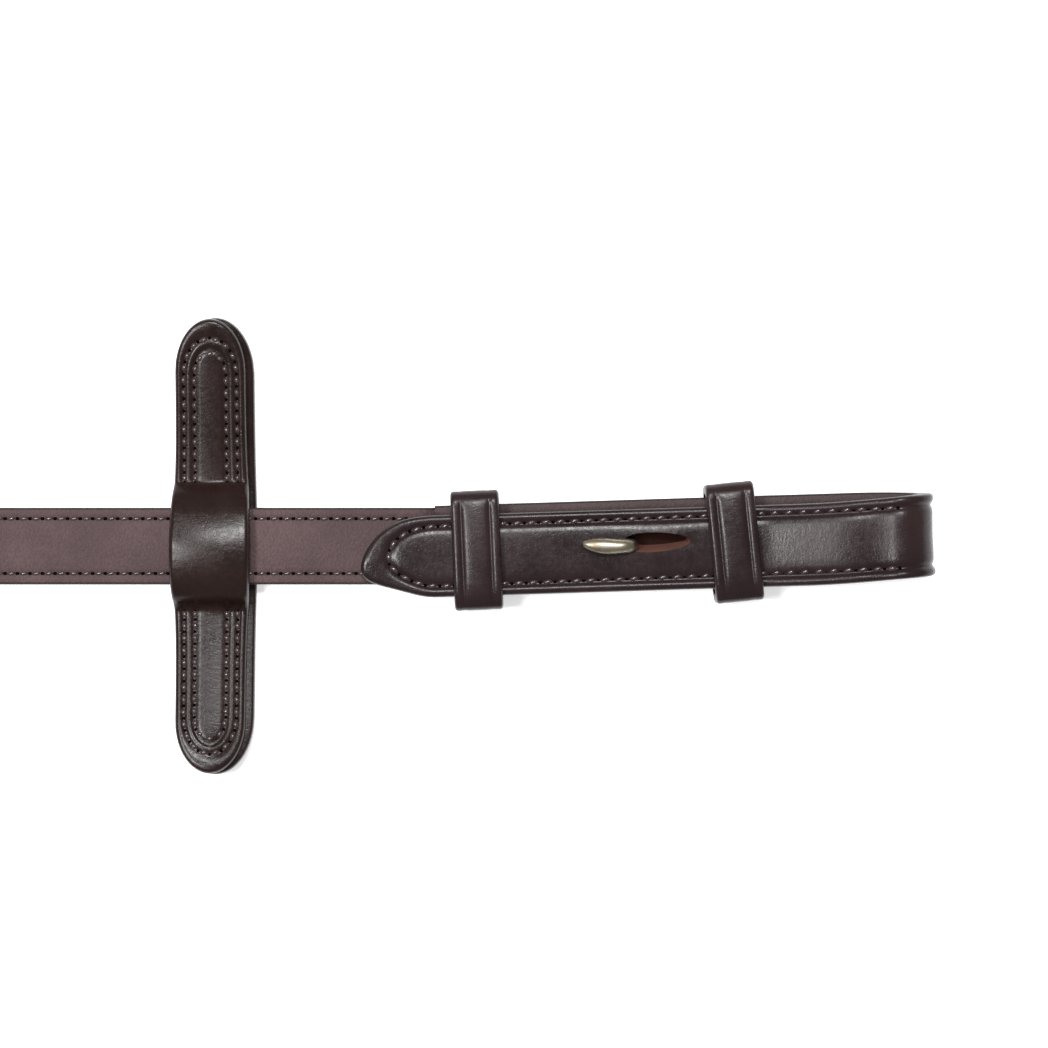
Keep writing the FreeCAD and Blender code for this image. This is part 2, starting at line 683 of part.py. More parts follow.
def draw_coil(sketch):
    """The outside of the wound turns: two end bends, two straight sides and a step where each rein leaves."""
    side, lean, bend, edge = (value_of(sketch, f) for f in (COIL_SIDE, COIL_LEAN, COIL_BEND, COIL_EDGE))
    right = Part.ArcOfCircle(Part.Circle(V(side, lean, 0), UP, bend), -math.pi / 2, math.pi / 2)
    left = Part.ArcOfCircle(Part.Circle(V(-side, -lean, 0), UP, bend), math.pi / 2, 3 * math.pi / 2)
    sketch.addGeometry([right, left], False)
    sketch.addGeometry(Part.LineSegment(V(side, edge, 0), V(-side, edge, 0)), False)
    sketch.addGeometry(Part.LineSegment(V(-side, edge, 0), V(-side, bend - lean, 0)), False)
    sketch.addGeometry(Part.LineSegment(V(-side, -edge, 0), V(side, -edge, 0)), False)
    sketch.addGeometry(Part.LineSegment(V(side, -edge, 0), V(side, lean - bend, 0)), False)
    constrain(sketch, "Tangent", 0, 2, 2, 1)
    constrain(sketch, "Coincident", 2, 2, 3, 1)
    constrain(sketch, "Coincident", 3, 2, 1, 1)
    constrain(sketch, "Tangent", 1, 2, 4, 1)
    constrain(sketch, "Coincident", 4, 2, 5, 1)
    constrain(sketch, "Coincident", 5, 2, 0, 1)
    constrain(sketch, "Horizontal", 2)
    constrain(sketch, "Vertical", 3)
    constrain(sketch, "Vertical", 5)
    constrain(sketch, "Equal", 0, 1)
    constrain(sketch, "Symmetric", 0, 3, 1, 3, -1, 1)
    constrain(sketch, "Vertical", 0, 1, 0, 3)
    constrain(sketch, "Vertical", 1, 1, 1, 3)
    constrain(sketch, "Radius", 0, bend, formula=COIL_BEND)
    constrain(sketch, "DistanceX", -1, 1, 0, 3, side, formula=COIL_SIDE)
    constrain(sketch, "DistanceY", -1, 1, 0, 3, lean, formula=COIL_LEAN)


def rein_coil():
    """The turns of both reins as one slab, open in the middle."""
    body = doc.addObject("PartDesign::Body", "coil_slab")
    plan = new_sketch(body, "coil_plan", "XY_Plane")
    draw_coil(plan)
    solid = pad(body, plan, "Sizes.strap_width * 1 mm")
    window = new_sketch(body, "coil_window", "XY_Plane")
    draw_rounded_rect(window, "Sizes.window_length", "Sizes.window_width", "Sizes.first_bend")
    pocket = body.newObject("PartDesign::Pocket", "coil_window_pocket")
    pocket.Profile = window
    pocket.Type = "ThroughAll"
    pocket.Midplane = True
    doc.recompute()
    if pocket.Shape.Volume >= solid.Shape.Volume:
        raise ValueError("the coil's window cuts nothing")
    place(body, "0 mm", "0 mm", "Sizes.edge_lift * 1 mm")
    keep(body, "rein_coil")


def coil_tie(side):
    """A leather band round the whole coil."""
    across = "2 * " + COIL_EDGE
    body = ring_body(
        "tie_band_" + side,
        "YZ_Plane",
        ("(%s + 2 * Sizes.tie_thick)" % across, "(Sizes.strap_width + 2 * Sizes.tie_thick)"),
        ("(%s)" % across, "Sizes.strap_width"),
        "2 * Sizes.tie_thick",
        "Sizes.tie_thick / 4",
        "Sizes.tie_width * 1 mm",
        centre=("0", "(Sizes.strap_width / 2 + Sizes.edge_lift)"),
    )
    place(body, ("" if side == "right" else "-") + "Sizes.tie_place * 1 mm", "0 mm", "0 mm")
    keep(body, "coil_tie_" + side)


# ---------------------------------------------------------------- centre buckle

BUCKLE_Z = "Sizes.buckle_height / 2 * 1 mm"
EDGE_Z = "(Sizes.buckle_height - Sizes.strap_width) / 2 * 1 mm"


def buckle_frame():
    """A round wire frame; its bar is at its own origin, upright."""
    body = doc.addObject("PartDesign::Body", "frame_wire")
    path = new_sketch(body, "frame_path", "XZ_Plane")
    draw_rounded_rect(
        path,
        "(Sizes.buckle_length - Sizes.buckle_wire)",
        "(Sizes.buckle_height - Sizes.buckle_wire)",
        "(Sizes.buckle_corner - Sizes.buckle_wire / 2)",
        centre_across="-(Sizes.buckle_length - Sizes.buckle_wire) / 2",
    )
    pipe_body("frame", (body, path), "Sizes.buckle_wire / 2")
    place(body, "Sizes.bar_place * 1 mm", "0 mm", BUCKLE_Z, angle="Sizes.buckle_tilt * 1 deg")
    keep(body, "buckle_frame")


def buckle_tongue():
    """A straight wire with an eye that turns on the frame's bar."""
    half = "-Sizes.tongue_width / 2 * 1 mm"
    eye = cylinder("tongue_eye_disc", "Sizes.tongue_eye * 1 mm", "Sizes.tongue_width * 1 mm", ("0 mm", "0 mm", half))
    wire = cylinder(
        "tongue_wire",
        "Sizes.tongue_radius * 1 mm",
        "Sizes.tongue_reach * 1 mm",
        ORIGIN,
        axis=V(0, 1, 0),
        angle="-90 deg",
    )
    solid = boolean("Fuse", "tongue_solid", eye, wire)
    radius = "(Sizes.buckle_wire / 2 + Sizes.pin_gap) * 1 mm"
    hole = cylinder("tongue_hole", radius, "Sizes.tongue_width * 1 mm", ("0 mm", "0 mm", half))
    whole = boolean("Cut", "tongue_whole", solid, hole)
    place(whole, "Sizes.bar_place * 1 mm", "0 mm", BUCKLE_Z, angle="Sizes.tongue_tilt * 1 deg")
    keep(whole, "buckle_tongue")


def buckle_chape():
    """A strip folded round the bar, with a slot in the fold for the tongue."""
    inner = size("buckle_wire") / 2 + size("bar_gap")
    bar, end = size("bar_place"), size("chape_reach")
    corners = [V(end, inner, 0), V(bar - inner, inner, 0), V(bar - inner, -inner, 0), V(end, -inner, 0)]
    line = bent_wire(corners, [inner, inner])
    strip = ribbon("chape", line, "Sizes.leather_thick * 1 mm", UP, "Sizes.strap_width")
    middle = box(
        "chape_slot",
        ("3 * Sizes.tongue_slot * 1 mm", "4 * Sizes.tongue_slot * 1 mm", "Sizes.tongue_slot * 1 mm"),
        ("(Sizes.bar_place - 7 / 4 * Sizes.tongue_slot) * 1 mm", "-2 * Sizes.tongue_slot * 1 mm",
         "-Sizes.tongue_slot / 2 * 1 mm"),
    )
    whole = boolean("Cut", "chape_whole", strip, middle)
    place(whole, "0 mm", "0 mm", BUCKLE_Z)
    keep(whole, "buckle_chape")


def chape_stitching():
    """Rows along the back of the chape and across its end, on an upright face."""
    edge = size("strap_width") / 2 - size("stitch_inset")
    start, end = size("bar_place") + 9, size("chape_reach") - size("stitch_inset")
    row_wire = Part.makePolygon([V(start, -edge, 0), V(end, -edge, 0), V(end, edge, 0), V(start, edge, 0)])
    face = size("buckle_wire") / 2 + size("bar_gap") + size("leather_thick")
    group = stitches("chape_thread", [row_wire], size("rein_pitch"), face, axis=V(1, 0, 0), angle=-90)
    place(group, "0 mm", "0 mm", BUCKLE_Z)
    keep(group, "chape_stitching")


def centre_strap():
    """The end of the right rein, held between the two sides of the chape."""
    thick = "(Sizes.leather_thick + Sizes.lining_thick)"
    start = "(Sizes.bar_place + 9)"
    lengths = ("(Sizes.window_length / 2 - %s) * 1 mm" % start, thick + " * 1 mm", "Sizes.strap_width * 1 mm")
    strap = box("centre_strap_solid", lengths, (start + " * 1 mm", "-%s / 2 * 1 mm" % thick, EDGE_Z))
    keep(strap, "centre_strap")


def point_end():
    """The end of the left rein: behind the frame's nose, up through it, over the bar and the chape."""
    half = size("point_thick") / 2
    start = -size("window_length") / 2
    low, high = size("bar_place") - 18, size("bar_place") - 2
    corners = [V(start, 0), V(low, 0), V(high, -size("point_shift")), V(size("point_reach"), -size("point_shift"))]
    line = bent_wire([c + V(0, half, 0) for c in corners], [size("point_bend")] * 2)
    strip = ribbon("point_strip", line, "Sizes.point_thick * 1 mm", UP, "Sizes.strap_width")
    outline = doc.addObject("PartDesign::Body", "point_outline")
    face = new_sketch(outline, "point_face", "XZ_Plane")
    long = "(Sizes.point_reach + Sizes.window_length)"
    draw_rounded_rect(
        face, long, "Sizes.strap_width", "Sizes.tip_radius", centre_across="Sizes.point_reach - %s / 2" % long
    )
    pad(outline, face, "Sizes.window_width * 1 mm", midplane=True)
    shaped = boolean("Common", "point_shaped", strip, outline)
    for number in range(3):
        tool = doc.addObject("PartDesign::Body", "point_hole_%d" % number)
        shape = new_sketch(tool, "point_hole_shape_%d" % number, "XZ_Plane")
        draw_slot(shape, "Sizes.hole_length", "Sizes.hole_width")
        pad(tool, shape, "Sizes.window_width * 1 mm", midplane=True)
        place(tool, "(Sizes.bar_place - 9.4 + %d * Sizes.hole_pitch) * 1 mm" % (number - 1), "0 mm", "0 mm")
        shaped = boolean("Cut", "point_holed_%d" % number, shaped, tool)
    place(shaped, "0 mm", "0 mm", BUCKLE_Z)
    keep(shaped, "point_end")


def buckle_keeper():
    """Holds the point end on the chape."""
    wall = "2 * Sizes.keeper_wall"
    inside = "Sizes.bar_gap + Sizes.buckle_wire / 2 + Sizes.leather_thick"
    far = "(Sizes.point_shift + Sizes.point_thick / 2 + Sizes.layer_gap)"
    near = "(%s + Sizes.layer_gap)" % inside
    body = ring_body(
        "centre_keeper_band",
        "YZ_Plane",
        ("(%s + %s + %s)" % (far, near, wall), "(Sizes.strap_width + 2 * Sizes.layer_gap + %s)" % wall),
        ("(%s + %s)" % (far, near), "(Sizes.strap_width + 2 * Sizes.layer_gap)"),
        "Sizes.keeper_corner",
        "Sizes.keeper_corner / 4",
        "Sizes.keeper_width * 1 mm",
        centre=("((%s - %s) / 2)" % (near, far), "0"),
    )
    place(body, "Sizes.centre_keeper_place * 1 mm", "0 mm", BUCKLE_Z)
    keep(body, "buckle_keeper")


# ---------------------------------------------------------------- build and write

for side in ("right", "left"):
    rein(side)
    rein_stitching(side)
    billet(side)
    billet_lining(side)
    billet_stitching(side)
    hook_plate(side)
    hook_stud(side)
    keeper("fixed", side, "Sizes.fixed_keeper_place")
    keeper("runner", side, "Sizes.runner_place")
    stop_back(side)
    stop_front(side)
    stop_stitching(side)
    coil_tie(side)
rein_coil()
centre_strap()
buckle_chape()
chape_stitching()
buckle_frame()
buckle_tongue()
buckle_keeper()
point_end()

doc.recompute()
for obj in doc.Objects:
    if "Invalid" in obj.State or "Error" in obj.State:
        raise ValueError("%s did not build: %s" % (obj.Name, obj.State))
for obj in nodes:
    if obj.Shape.isNull() or not obj.Shape.isValid() or not obj.Shape.Solids:
        raise ValueError("%s is not a valid solid" % obj.Label)
for obj in nodes:
    obj.Shape.exportStep("parts/%s.step" % obj.Label)
print("wrote %d parts" % len(nodes))
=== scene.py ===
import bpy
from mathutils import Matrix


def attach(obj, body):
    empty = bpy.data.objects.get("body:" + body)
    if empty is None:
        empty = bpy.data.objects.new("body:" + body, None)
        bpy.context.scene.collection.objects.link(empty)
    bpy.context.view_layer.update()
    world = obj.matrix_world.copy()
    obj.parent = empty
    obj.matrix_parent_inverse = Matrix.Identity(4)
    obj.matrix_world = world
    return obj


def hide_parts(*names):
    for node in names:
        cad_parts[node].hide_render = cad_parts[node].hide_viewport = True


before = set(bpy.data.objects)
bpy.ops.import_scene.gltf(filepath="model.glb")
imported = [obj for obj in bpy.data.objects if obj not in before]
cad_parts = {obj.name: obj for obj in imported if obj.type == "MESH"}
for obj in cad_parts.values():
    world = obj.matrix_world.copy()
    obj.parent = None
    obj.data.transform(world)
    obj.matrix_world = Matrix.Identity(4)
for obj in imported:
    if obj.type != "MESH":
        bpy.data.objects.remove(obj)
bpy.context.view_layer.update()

import math

import bmesh
import bpy
import numpy as np
from mathutils import Vector

# Leather reins. Lengths are millimetres here, and become metres when a mesh is made.
MM = 0.001
SIDES = ("right", "left")
UP = np.array([0.0, 0.0, 1.0])
WELD = 2e-6

# The rein strap: leather and lining with a seam between them.
STRAP_HALF = 8.0
LEATHER = 2.2
LINING = 1.2
HALF_THICK = (LEATHER + LINING) / 2
SEAM = HALF_THICK - LEATHER
LIFT = 2.2
EDGE_LIFT = 0.8
LAYER_GAP = 0.3
SPLICE = (299.0, -1.1, 0.0)
END_YAW = math.radians(1.8)

# Stitches, and the dark discs of painted shade for the needle holes at their ends.
REIN_PITCH = 2.6
BILLET_PITCH = 3.0
STITCH_INSET = 2.3
STITCH_SHARE = 0.8
STITCH_DROP = 0.55
NEEDLE_WIDE = 0.7
NEEDLE_TALL = 0.24
NEEDLE_SINK = 0.06


# ---- meshes


def turned(points, angle, origin=(0.0, 0.0, 0.0)):
    """Points turned about the vertical and then moved to origin."""
    c, s = math.cos(angle), math.sin(angle)
    turn = np.array([[c, -s, 0], [s, c, 0], [0, 0, 1]])
    return np.asarray(points) @ turn.T + origin


def to_side(points, side):
    """The left half is the right half turned half a turn."""
    return turned(points, 0.0 if side == "right" else math.pi)


def from_end(points, side):
    """From the bit end's own frame, which starts at the splice, to the row frame."""
    return to_side(turned(points, END_YAW, SPLICE), side)


def rounding(value, sharp, least=0.0):
    """Falls from 1 along a superellipse as value goes to 1, but not below the root of least."""
    return math.sqrt(max(least, 1 - max(0.0, value) ** sharp))


def unit(vectors):
    """Vectors scaled to length 1."""
    return vectors / np.linalg.norm(vectors, axis=-1, keepdims=True)


def distances(points):
    """How far along a polyline each of its points lies."""
    return np.concatenate([[0.0], np.cumsum(np.linalg.norm(np.diff(points, axis=0), axis=1))])


def circle(count, start=0.0):
    """The cosine and sine of angles evenly spaced round a turn."""
    angles = [2 * math.pi * (k + start) / count for k in range(count)]
    return [(math.cos(angle), math.sin(angle)) for angle in angles]


def ring_faces(rings, around, closed=False):
    """Faces of a skin over rings of points. Unless the rings close up, both ends are capped."""
    faces = []
    for ring in range(rings if closed else rings - 1):
        here, ahead = ring * around, (ring + 1) % rings * around
        for k in range(around):
            other = (k + 1) % around
            faces.append((here + k, ahead + k, ahead + other, here + other))
    if not closed:
        faces += [tuple(range(around)), tuple(reversed(range((rings - 1) * around, rings * around)))]
    return faces


def placed(name, data):
    """A new object in the scene."""
    obj = bpy.data.objects.new(name, data)
    bpy.context.scene.collection.objects.link(obj)
    return obj


def closed_mesh(name, points, faces, materials, picks=None, uvs=None):
    """A mesh in metres with its doubles merged and its faces turned outwards."""
    mesh = bpy.data.meshes.new(name)
    mesh.from_pydata((np.asarray(points) * MM).tolist(), [], faces)
    for material in materials:
        mesh.materials.append(material)
    if picks:
        mesh.polygons.foreach_set("material_index", picks)
    mesh.shade_smooth()
    if uvs is not None:
        places = mesh.uv_layers.new(name="along")
        corners = np.zeros(len(mesh.loops), np.int32)
        mesh.loops.foreach_get("vertex_index", corners)
        places.data.foreach_set("uv", (np.asarray(uvs)[corners] * MM).ravel())
    work = bmesh.new()
    work.from_mesh(mesh)
    bmesh.ops.remove_doubles(work, verts=work.verts, dist=WELD)
    bmesh.ops.dissolve_degenerate(work, edges=work.edges, dist=WELD)
    bmesh.ops.recalc_face_normals(work, faces=work.faces)
    work.to_mesh(mesh)
    work.free()
    mesh.update()
    return mesh


def piece(name, points, faces, materials, body, picks=None, uvs=None):
    """A mesh object that rides on a body.

    picks gives each face's material, and uvs each point's place on the leather.
    """
    obj = placed(name, closed_mesh(name, points, faces, materials, picks, uvs))
    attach(obj, body)
    return obj


class Strip:
    """A line with a frame at each point: along it, out of its face, and across it."""

    def __init__(self, points, face):
        self.points = np.asarray(points, float)
        self.s = distances(self.points)
        self.length = self.s[-1]
        self.along = unit(np.gradient(self.points, self.s, axis=0))
        self.face = unit(face - (face * self.along).sum(1)[:, None] * self.along)
        self.across = np.cross(self.face, self.along)

    def at(self, s):
        """Point, face and across at distances s."""
        found = []
        for values in (self.points, self.face, self.across):
            columns = [np.interp(s, self.s, values[:, k]) for k in range(3)]
            found.append(np.stack(columns, axis=-1))
        return found[0], unit(found[1]), unit(found[2])


# How high a face stands, by distance in from its edge. A sewn one has a rounded rim, then a groove for
# the thread; a creased one has a line pressed beside its rim.
SEWN_FACE = (
    (0.0, -0.75), (0.08, -0.45), (0.25, -0.16), (0.5, 0.0), (0.9, 0.1), (1.3, 0.08), (1.65, -0.06),
    (1.95, -0.26), (2.2, -0.36), (2.4, -0.36), (2.65, -0.26), (2.95, -0.08), (3.4, 0.06), (4.2, 0.15),
    (5.4, 0.2), (6.8, 0.22), (8.0, 0.22),
)
SEWN_LINING = (
    (0.0, -0.42), (0.15, -0.2), (0.42, -0.06), (0.7, 0.0), (1.2, 0.04), (1.75, -0.04), (2.05, -0.2),
    (2.3, -0.24), (2.55, -0.18), (2.85, -0.03), (3.5, 0.06), (4.6, 0.12), (6.2, 0.15), (8.0, 0.16),
)
CREASED_FACE = (
    (0.0, -0.7), (0.08, -0.4), (0.25, -0.14), (0.55, 0.0), (1.0, 0.04), (1.5, -0.02), (1.75, -0.16),
    (1.95, -0.27), (2.1, -0.27), (2.3, -0.14), (2.6, 0.02), (3.1, 0.12), (4.0, 0.18), (5.0, 0.2),
)
THIN_FACE = ((0.0, -0.3), (0.1, -0.12), (0.3, 0.0), (0.9, 0.03), (4.0, 0.05))
PLAIN_FACE = ((0.0, -0.5), (0.08, -0.28), (0.25, -0.08), (0.55, 0.0), (2.3, 0.03), (5.0, 0.05), (8.0, 0.05))

RIM = 0.6
RIM_COLUMNS = 2
GROOVE = 1.6
DEEP = 100.0


class Tip:
    """A strip's rounded end: how long and how pointed it is, and how far its groove is drawn back."""

    def __init__(self, length, sharp=2.0, draw_back=0.0):
        self.length, self.sharp = length, sharp
        self.insets = (0, RIM, GROOVE, DEEP)
        self.starts = (0, RIM, GROOVE + draw_back, DEEP + draw_back)

    def back(self, inset):
        """How far from the very end the outline inset by this much starts."""
        return float(np.interp(inset, self.insets, self.starts))

    def inset_at(self, distance):
        """The inset whose outline starts at this distance from the end."""
        return float(np.interp(distance, self.starts, self.insets))

    def half(self, inset, distance, half):
        """Half the width of the outline inset by this much, at a distance from the end."""
        start = self.back(inset)
        length = max(self.length - start, 1.5 * (half - inset), 1e-3)
        done = min(max((distance - start) / length, 0.0), 1.0)
        return (half - inset) * rounding(1 - done, self.sharp)

    def row(self, half, start, stop, steps=40):
        """A U of places (along, across) that runs in from stop, round the tip at start, and back out."""
        length = max(self.length - start, 1.3 * half)
        side = []
        for k in range(steps + 1):
            done = 1 - math.cos(math.pi / 2 * k / steps)
            side.append((start + done * length, half * rounding(1 - done, self.sharp)))
        side.append((stop, half))
        return np.array([(s, a) for s, a in reversed(side)] + [(s, -a) for s, a in side[1:]])


def sweep(strip, stations, half, high, low, profile, tips, width=None, crown=None, shift=None, relief=None):
    """A closed layer along a strip: its face at high has the profile, and its back at low is flat.

    Returns points, faces, 1 for a rim face or 0 for another, and a (along, across) pair for each point.
    width scales the half width by distance along, crown lifts the face, shift moves it across, and relief
    scales the profile inside the rim.
    """
    insets = [i for i, _ in profile if i < half] + [half]
    heights = tuple(zip(*profile))
    columns = [(-1, i) for i in insets] + [(1, i) for i in reversed(insets[:-1])]
    middle, face, across = strip.at(stations)
    points, uvs = [], []
    for row, s in enumerate(stations):
        first = s <= strip.length / 2
        tip = tips[0] if first else tips[1]
        near = s if first else strip.length - s
        wide = width(s) if width else 1.0
        side = shift(s) if shift else 0.0
        row_points = []
        for sign, inset in columns:
            reach = (tip.half(inset, near, half) if tip else half - inset) * wide
            height = float(np.interp(min(inset, tip.inset_at(near)) if tip else inset, *heights))
            height = high + (height * relief(s) if relief and inset > RIM else height)
            if crown:
                height += crown(s, sign * reach)
            row_points.append((sign * reach, height))
        row_points += [(row_points[-1][0], low), (row_points[0][0], low)]
        for a, h in row_points:
            points.append(middle[row] + across[row] * (a + side) + face[row] * h)
            uvs.append((s, a))
    count = len(columns) + 2
    last = len(columns) - 1 - RIM_COLUMNS
    rim = [int(k < RIM_COLUMNS or k >= last and k != count - 2) for k in range(count)]
    picks = rim * (len(stations) - 1) + [1, 1]
    return np.array(points), ring_faces(len(stations), count), picks, np.array(uvs)


def spaced(row, pitch):
    """A polyline's points, respaced evenly near the pitch."""
    row = np.asarray(row, float)
    s = distances(row)
    count = max(2, int(round(s[-1] / pitch)) + 1)
    want = np.linspace(0, s[-1], count)
    return np.stack([np.interp(want, s, row[:, k]) for k in range(row.shape[1])], axis=-1)


def one_stitch(length, wide, tall, rings, around):
    """A short arch of thread about the origin, along X."""
    points = []
    for ring in range(rings):
        t = (ring + 0.5) / rings * 2 - 1
        thick = rounding(abs(t), 4, 0.12)
        for c, s in circle(around):
            rise = tall / 2 * thick * s - tall * STITCH_DROP * t * t
            points.append((t * length / 2, wide / 2 * thick * c, rise))
    return np.array(points), ring_faces(rings, around)


def joined(parts):
    """Several runs of points, faces and picks as one."""
    points, faces, picks, count = [], [], [], 0
    for part_points, part_faces, part_picks in parts:
        points.append(part_points)
        faces += [tuple(i + count for i in face) for face in part_faces]
        picks += part_picks
        count += len(part_points)
    return np.concatenate(points), faces, picks


def stitch_rows(strip, rows, pitch, height, length=None, wide=0.75, tall=0.6, slant=8.0, rings=5, around=6,
                hole=0.9):
    """Separate stitches along rows of a strip, and a near-black disc at each end of every stitch, painted shade for
    its needle hole.

    height is above the strip's line, along its face. Returns points, faces, and 0 for thread or 1 for
    the painted shade of a needle hole per face.
    """
    kinds = (
        (one_stitch(length or pitch * STITCH_SHARE, wide, tall, rings, around), 0, 0.0, math.radians(slant)),
        # The second kind is a near-black disc: painted shade for a needle hole.
        (one_stitch(hole, NEEDLE_WIDE, NEEDLE_TALL, 3, 6), 1, -NEEDLE_SINK, 0.0),
    )
    parts = []
    for row in rows:
        places = spaced(row, pitch)
        middles = (places[:-1] + places[1:]) / 2
        for (shape, faces), pick, lift, lean in kinds:
            wanted = middles if pick == 0 else places
            middle, face, across = strip.at(wanted[:, 0])
            centres = middle + across * wanted[:, 1:2]
            ahead = np.gradient(centres, axis=0)
            ahead = unit(ahead - (ahead * face).sum(1)[:, None] * face)
            ahead = ahead * math.cos(lean) + np.cross(face, ahead) * math.sin(lean)
            beside = np.cross(face, ahead)
            heights = np.array([height(*place) if callable(height) else height for place in wanted]) + lift
            centres = centres + face * heights[:, None]
            for k in range(len(centres)):
                points = centres[k] + shape @ np.stack([ahead[k], beside[k], face[k]])
                parts.append((points, faces, [pick] * len(faces)))
    return joined(parts)


def sewing(name, parts, body="reins"):
    """One object for the thread and the painted shade of the needle holes of several runs of stitching."""
    points, faces, picks = joined(parts)
    return piece(name, points, faces, [THREAD, NEEDLE_HOLE_SHADE], body, picks)


# ---- camera, light and floor

CAMERA_PLACE = (0.3173, 0.0046, 0.7024)
CAMERA_LENS = 115
LIGHT_AIM = (0.32, 0.0, 0.0)
# Name, place, energy and size.
LIGHTS = (("left_key", (-0.27, 0.04, 1.38), 15, 0.40), ("far_key", (0.31, 0.52, 1.40), 16, 0.38))
WORLD_STRENGTH = 0.38
FLOOR_REACH = 6.0
FLOOR_DROP = 0.0002
PAPER_WHITE = 0.96
PAPER_GLOW = 0.5


def studio():
    """A camera straight above the right bit end, soft lights and a white floor."""
    data = bpy.data.cameras.new("camera")
    data.lens = CAMERA_LENS
    data.clip_start = 0.01
    camera = placed("camera", data)
    camera.location = CAMERA_PLACE
    bpy.context.scene.camera = camera

    world = bpy.data.worlds.new("studio")
    world.use_nodes = True
    background = world.node_tree.nodes["Background"].inputs
    background["Color"].default_value = (1.0, 1.0, 1.0, 1)
    background["Strength"].default_value = WORLD_STRENGTH
    bpy.context.scene.world = world
    bpy.context.scene.view_settings.view_transform = "Standard"
    for name, place, energy, size in LIGHTS:
        data = bpy.data.lights.new(name, "AREA")
        data.energy, data.shape, data.size = energy, "RECTANGLE", size
        lamp = placed(name, data)
        lamp.location = place
        lamp.rotation_euler = (Vector(LIGHT_AIM) - Vector(place)).to_track_quat("-Z", "Y").to_euler()

    mesh = bpy.data.meshes.new("floor")
    corners = [(x * FLOOR_REACH, y * FLOOR_REACH, 0) for x, y in ((-1, -1), (1, -1), (1, 1), (-1, 1))]
    mesh.from_pydata(corners, [], [(0, 1, 2, 3)])
    floor = placed("floor", mesh)
    floor.location.z = -FLOOR_DROP
    paper = bpy.data.materials.new("paper")
    paper.use_nodes = True
    shader = paper.node_tree.nodes["Principled BSDF"].inputs
    shader["Base Color"].default_value = (PAPER_WHITE, PAPER_WHITE, PAPER_WHITE, 1)
    shader["Roughness"].default_value = 0.9
    shader["Emission Strength"].default_value = PAPER_GLOW
    mesh.materials.append(paper)


studio()

# ---- the reins' routes

TURNS = 2
TURN_GAP = 5.8
TURN_SIDE = 82.5
FIRST_BEND = 12.0
BUCKLE_Z = 11.3
EDGE_Z = STRAP_HALF + EDGE_LIFT
FLAT_Z = 3.9
TWIST_START = 145.0
FLAT_START = 210.0
BEND_STEPS = 12
SPLINE_STEPS = 10

# Out of the buckle, level at first and then down to the coil.
LEVEL = 6.0
COILED = (66.0, 0.0, EDGE_Z + 0.6)

# From the coil to the splice: on edge, then turned flat through the twist, and straight from there on.
ROUTE = (
    (58.0, -41.4, EDGE_Z),
    (107.4, -41.4, EDGE_Z),
    (135.1, 0.0, EDGE_Z),
    (181.0, 0.0, 9.4),
    (200.0, 0.0, FLAT_Z),
    (221.0, 0.0, FLAT_Z),
    (299.0, 0.0, FLAT_Z),
)


def ease(value):
    """From 0 to 1, slow at both ends."""
    done = np.clip(value, 0, 1)
    return done * done * (3 - 2 * done)


def bend_points(centre_x, centre_y, radius, start):
    """Points round half a turn, anticlockwise from an angle."""
    angles = [start + math.pi * (k + 0.5) / BEND_STEPS for k in range(BEND_STEPS)]
    return [(centre_x + radius * math.cos(a), centre_y + radius * math.sin(a), EDGE_Z) for a in angles]


def route(start):
    """The right rein's route out of the buckle, round the coil and out to the splice."""
    points = [(start, 0.0, BUCKLE_Z), (start + LEVEL, 0.0, BUCKLE_Z), COILED]
    y, centre_y = 0.0, FIRST_BEND
    for way in (1, -1) * TURNS:
        radius = abs(centre_y - y)
        # The last straight point is half a step before the bend, so that the points stay evenly spaced.
        edge = way * (TURN_SIDE - radius * math.pi / BEND_STEPS / 2)
        points += [(edge, y, EDGE_Z)] + bend_points(way * TURN_SIDE, centre_y, radius, -way * math.pi / 2)
        y = centre_y + way * radius
        points += [(edge, y, EDGE_Z), (0.0, y, EDGE_Z)]
        centre_y = -way * TURN_GAP / 2
    return points + list(ROUTE)


def read_spline(name, points):
    """The smooth line that a NURBS spline with those control points makes."""
    curve = bpy.data.curves.new(name, "CURVE")
    curve.dimensions = "3D"
    curve.resolution_u = SPLINE_STEPS
    spline = curve.splines.new("NURBS")
    spline.points.add(len(points) - 1)
    for point, place in zip(spline.points, points):
        point.co = (*(np.asarray(place) * MM), 1.0)
    spline.order_u = 3
    spline.use_endpoint_u = True
    holder = placed(name, curve)
    bpy.context.view_layer.update()
    mesh = bpy.data.meshes.new_from_object(holder)
    line = np.array([v.co for v in mesh.vertices], float) / MM
    bpy.data.objects.remove(holder)
    bpy.data.curves.remove(curve)
    bpy.data.meshes.remove(mesh)
    return line


def rein_strip(side, start):
    """A strip down the middle of a rein, its face towards the outer leather."""
    line = read_spline("route_" + side, route(start))
    line = line[np.concatenate([[True], np.linalg.norm(np.diff(line, axis=0), axis=1) > 1e-3])]
    along = unit(np.gradient(line, axis=0))
    beside = unit(np.cross(along, UP) * (1 if side == "right" else -1))
    flat = ease((line[:, 0] - TWIST_START) / (FLAT_START - TWIST_START))
    flat = np.where(np.arange(len(line)) > len(line) // 2, flat, 0.0)
    roll = (flat * math.pi / 2)[:, None]
    face = beside * np.cos(roll) - UP * np.sin(roll)
    return Strip(to_side(line, side), to_side(face, side))


# ---- materials


def shaded(color, share):
    """A color made darker."""
    return tuple(c * share for c in color)


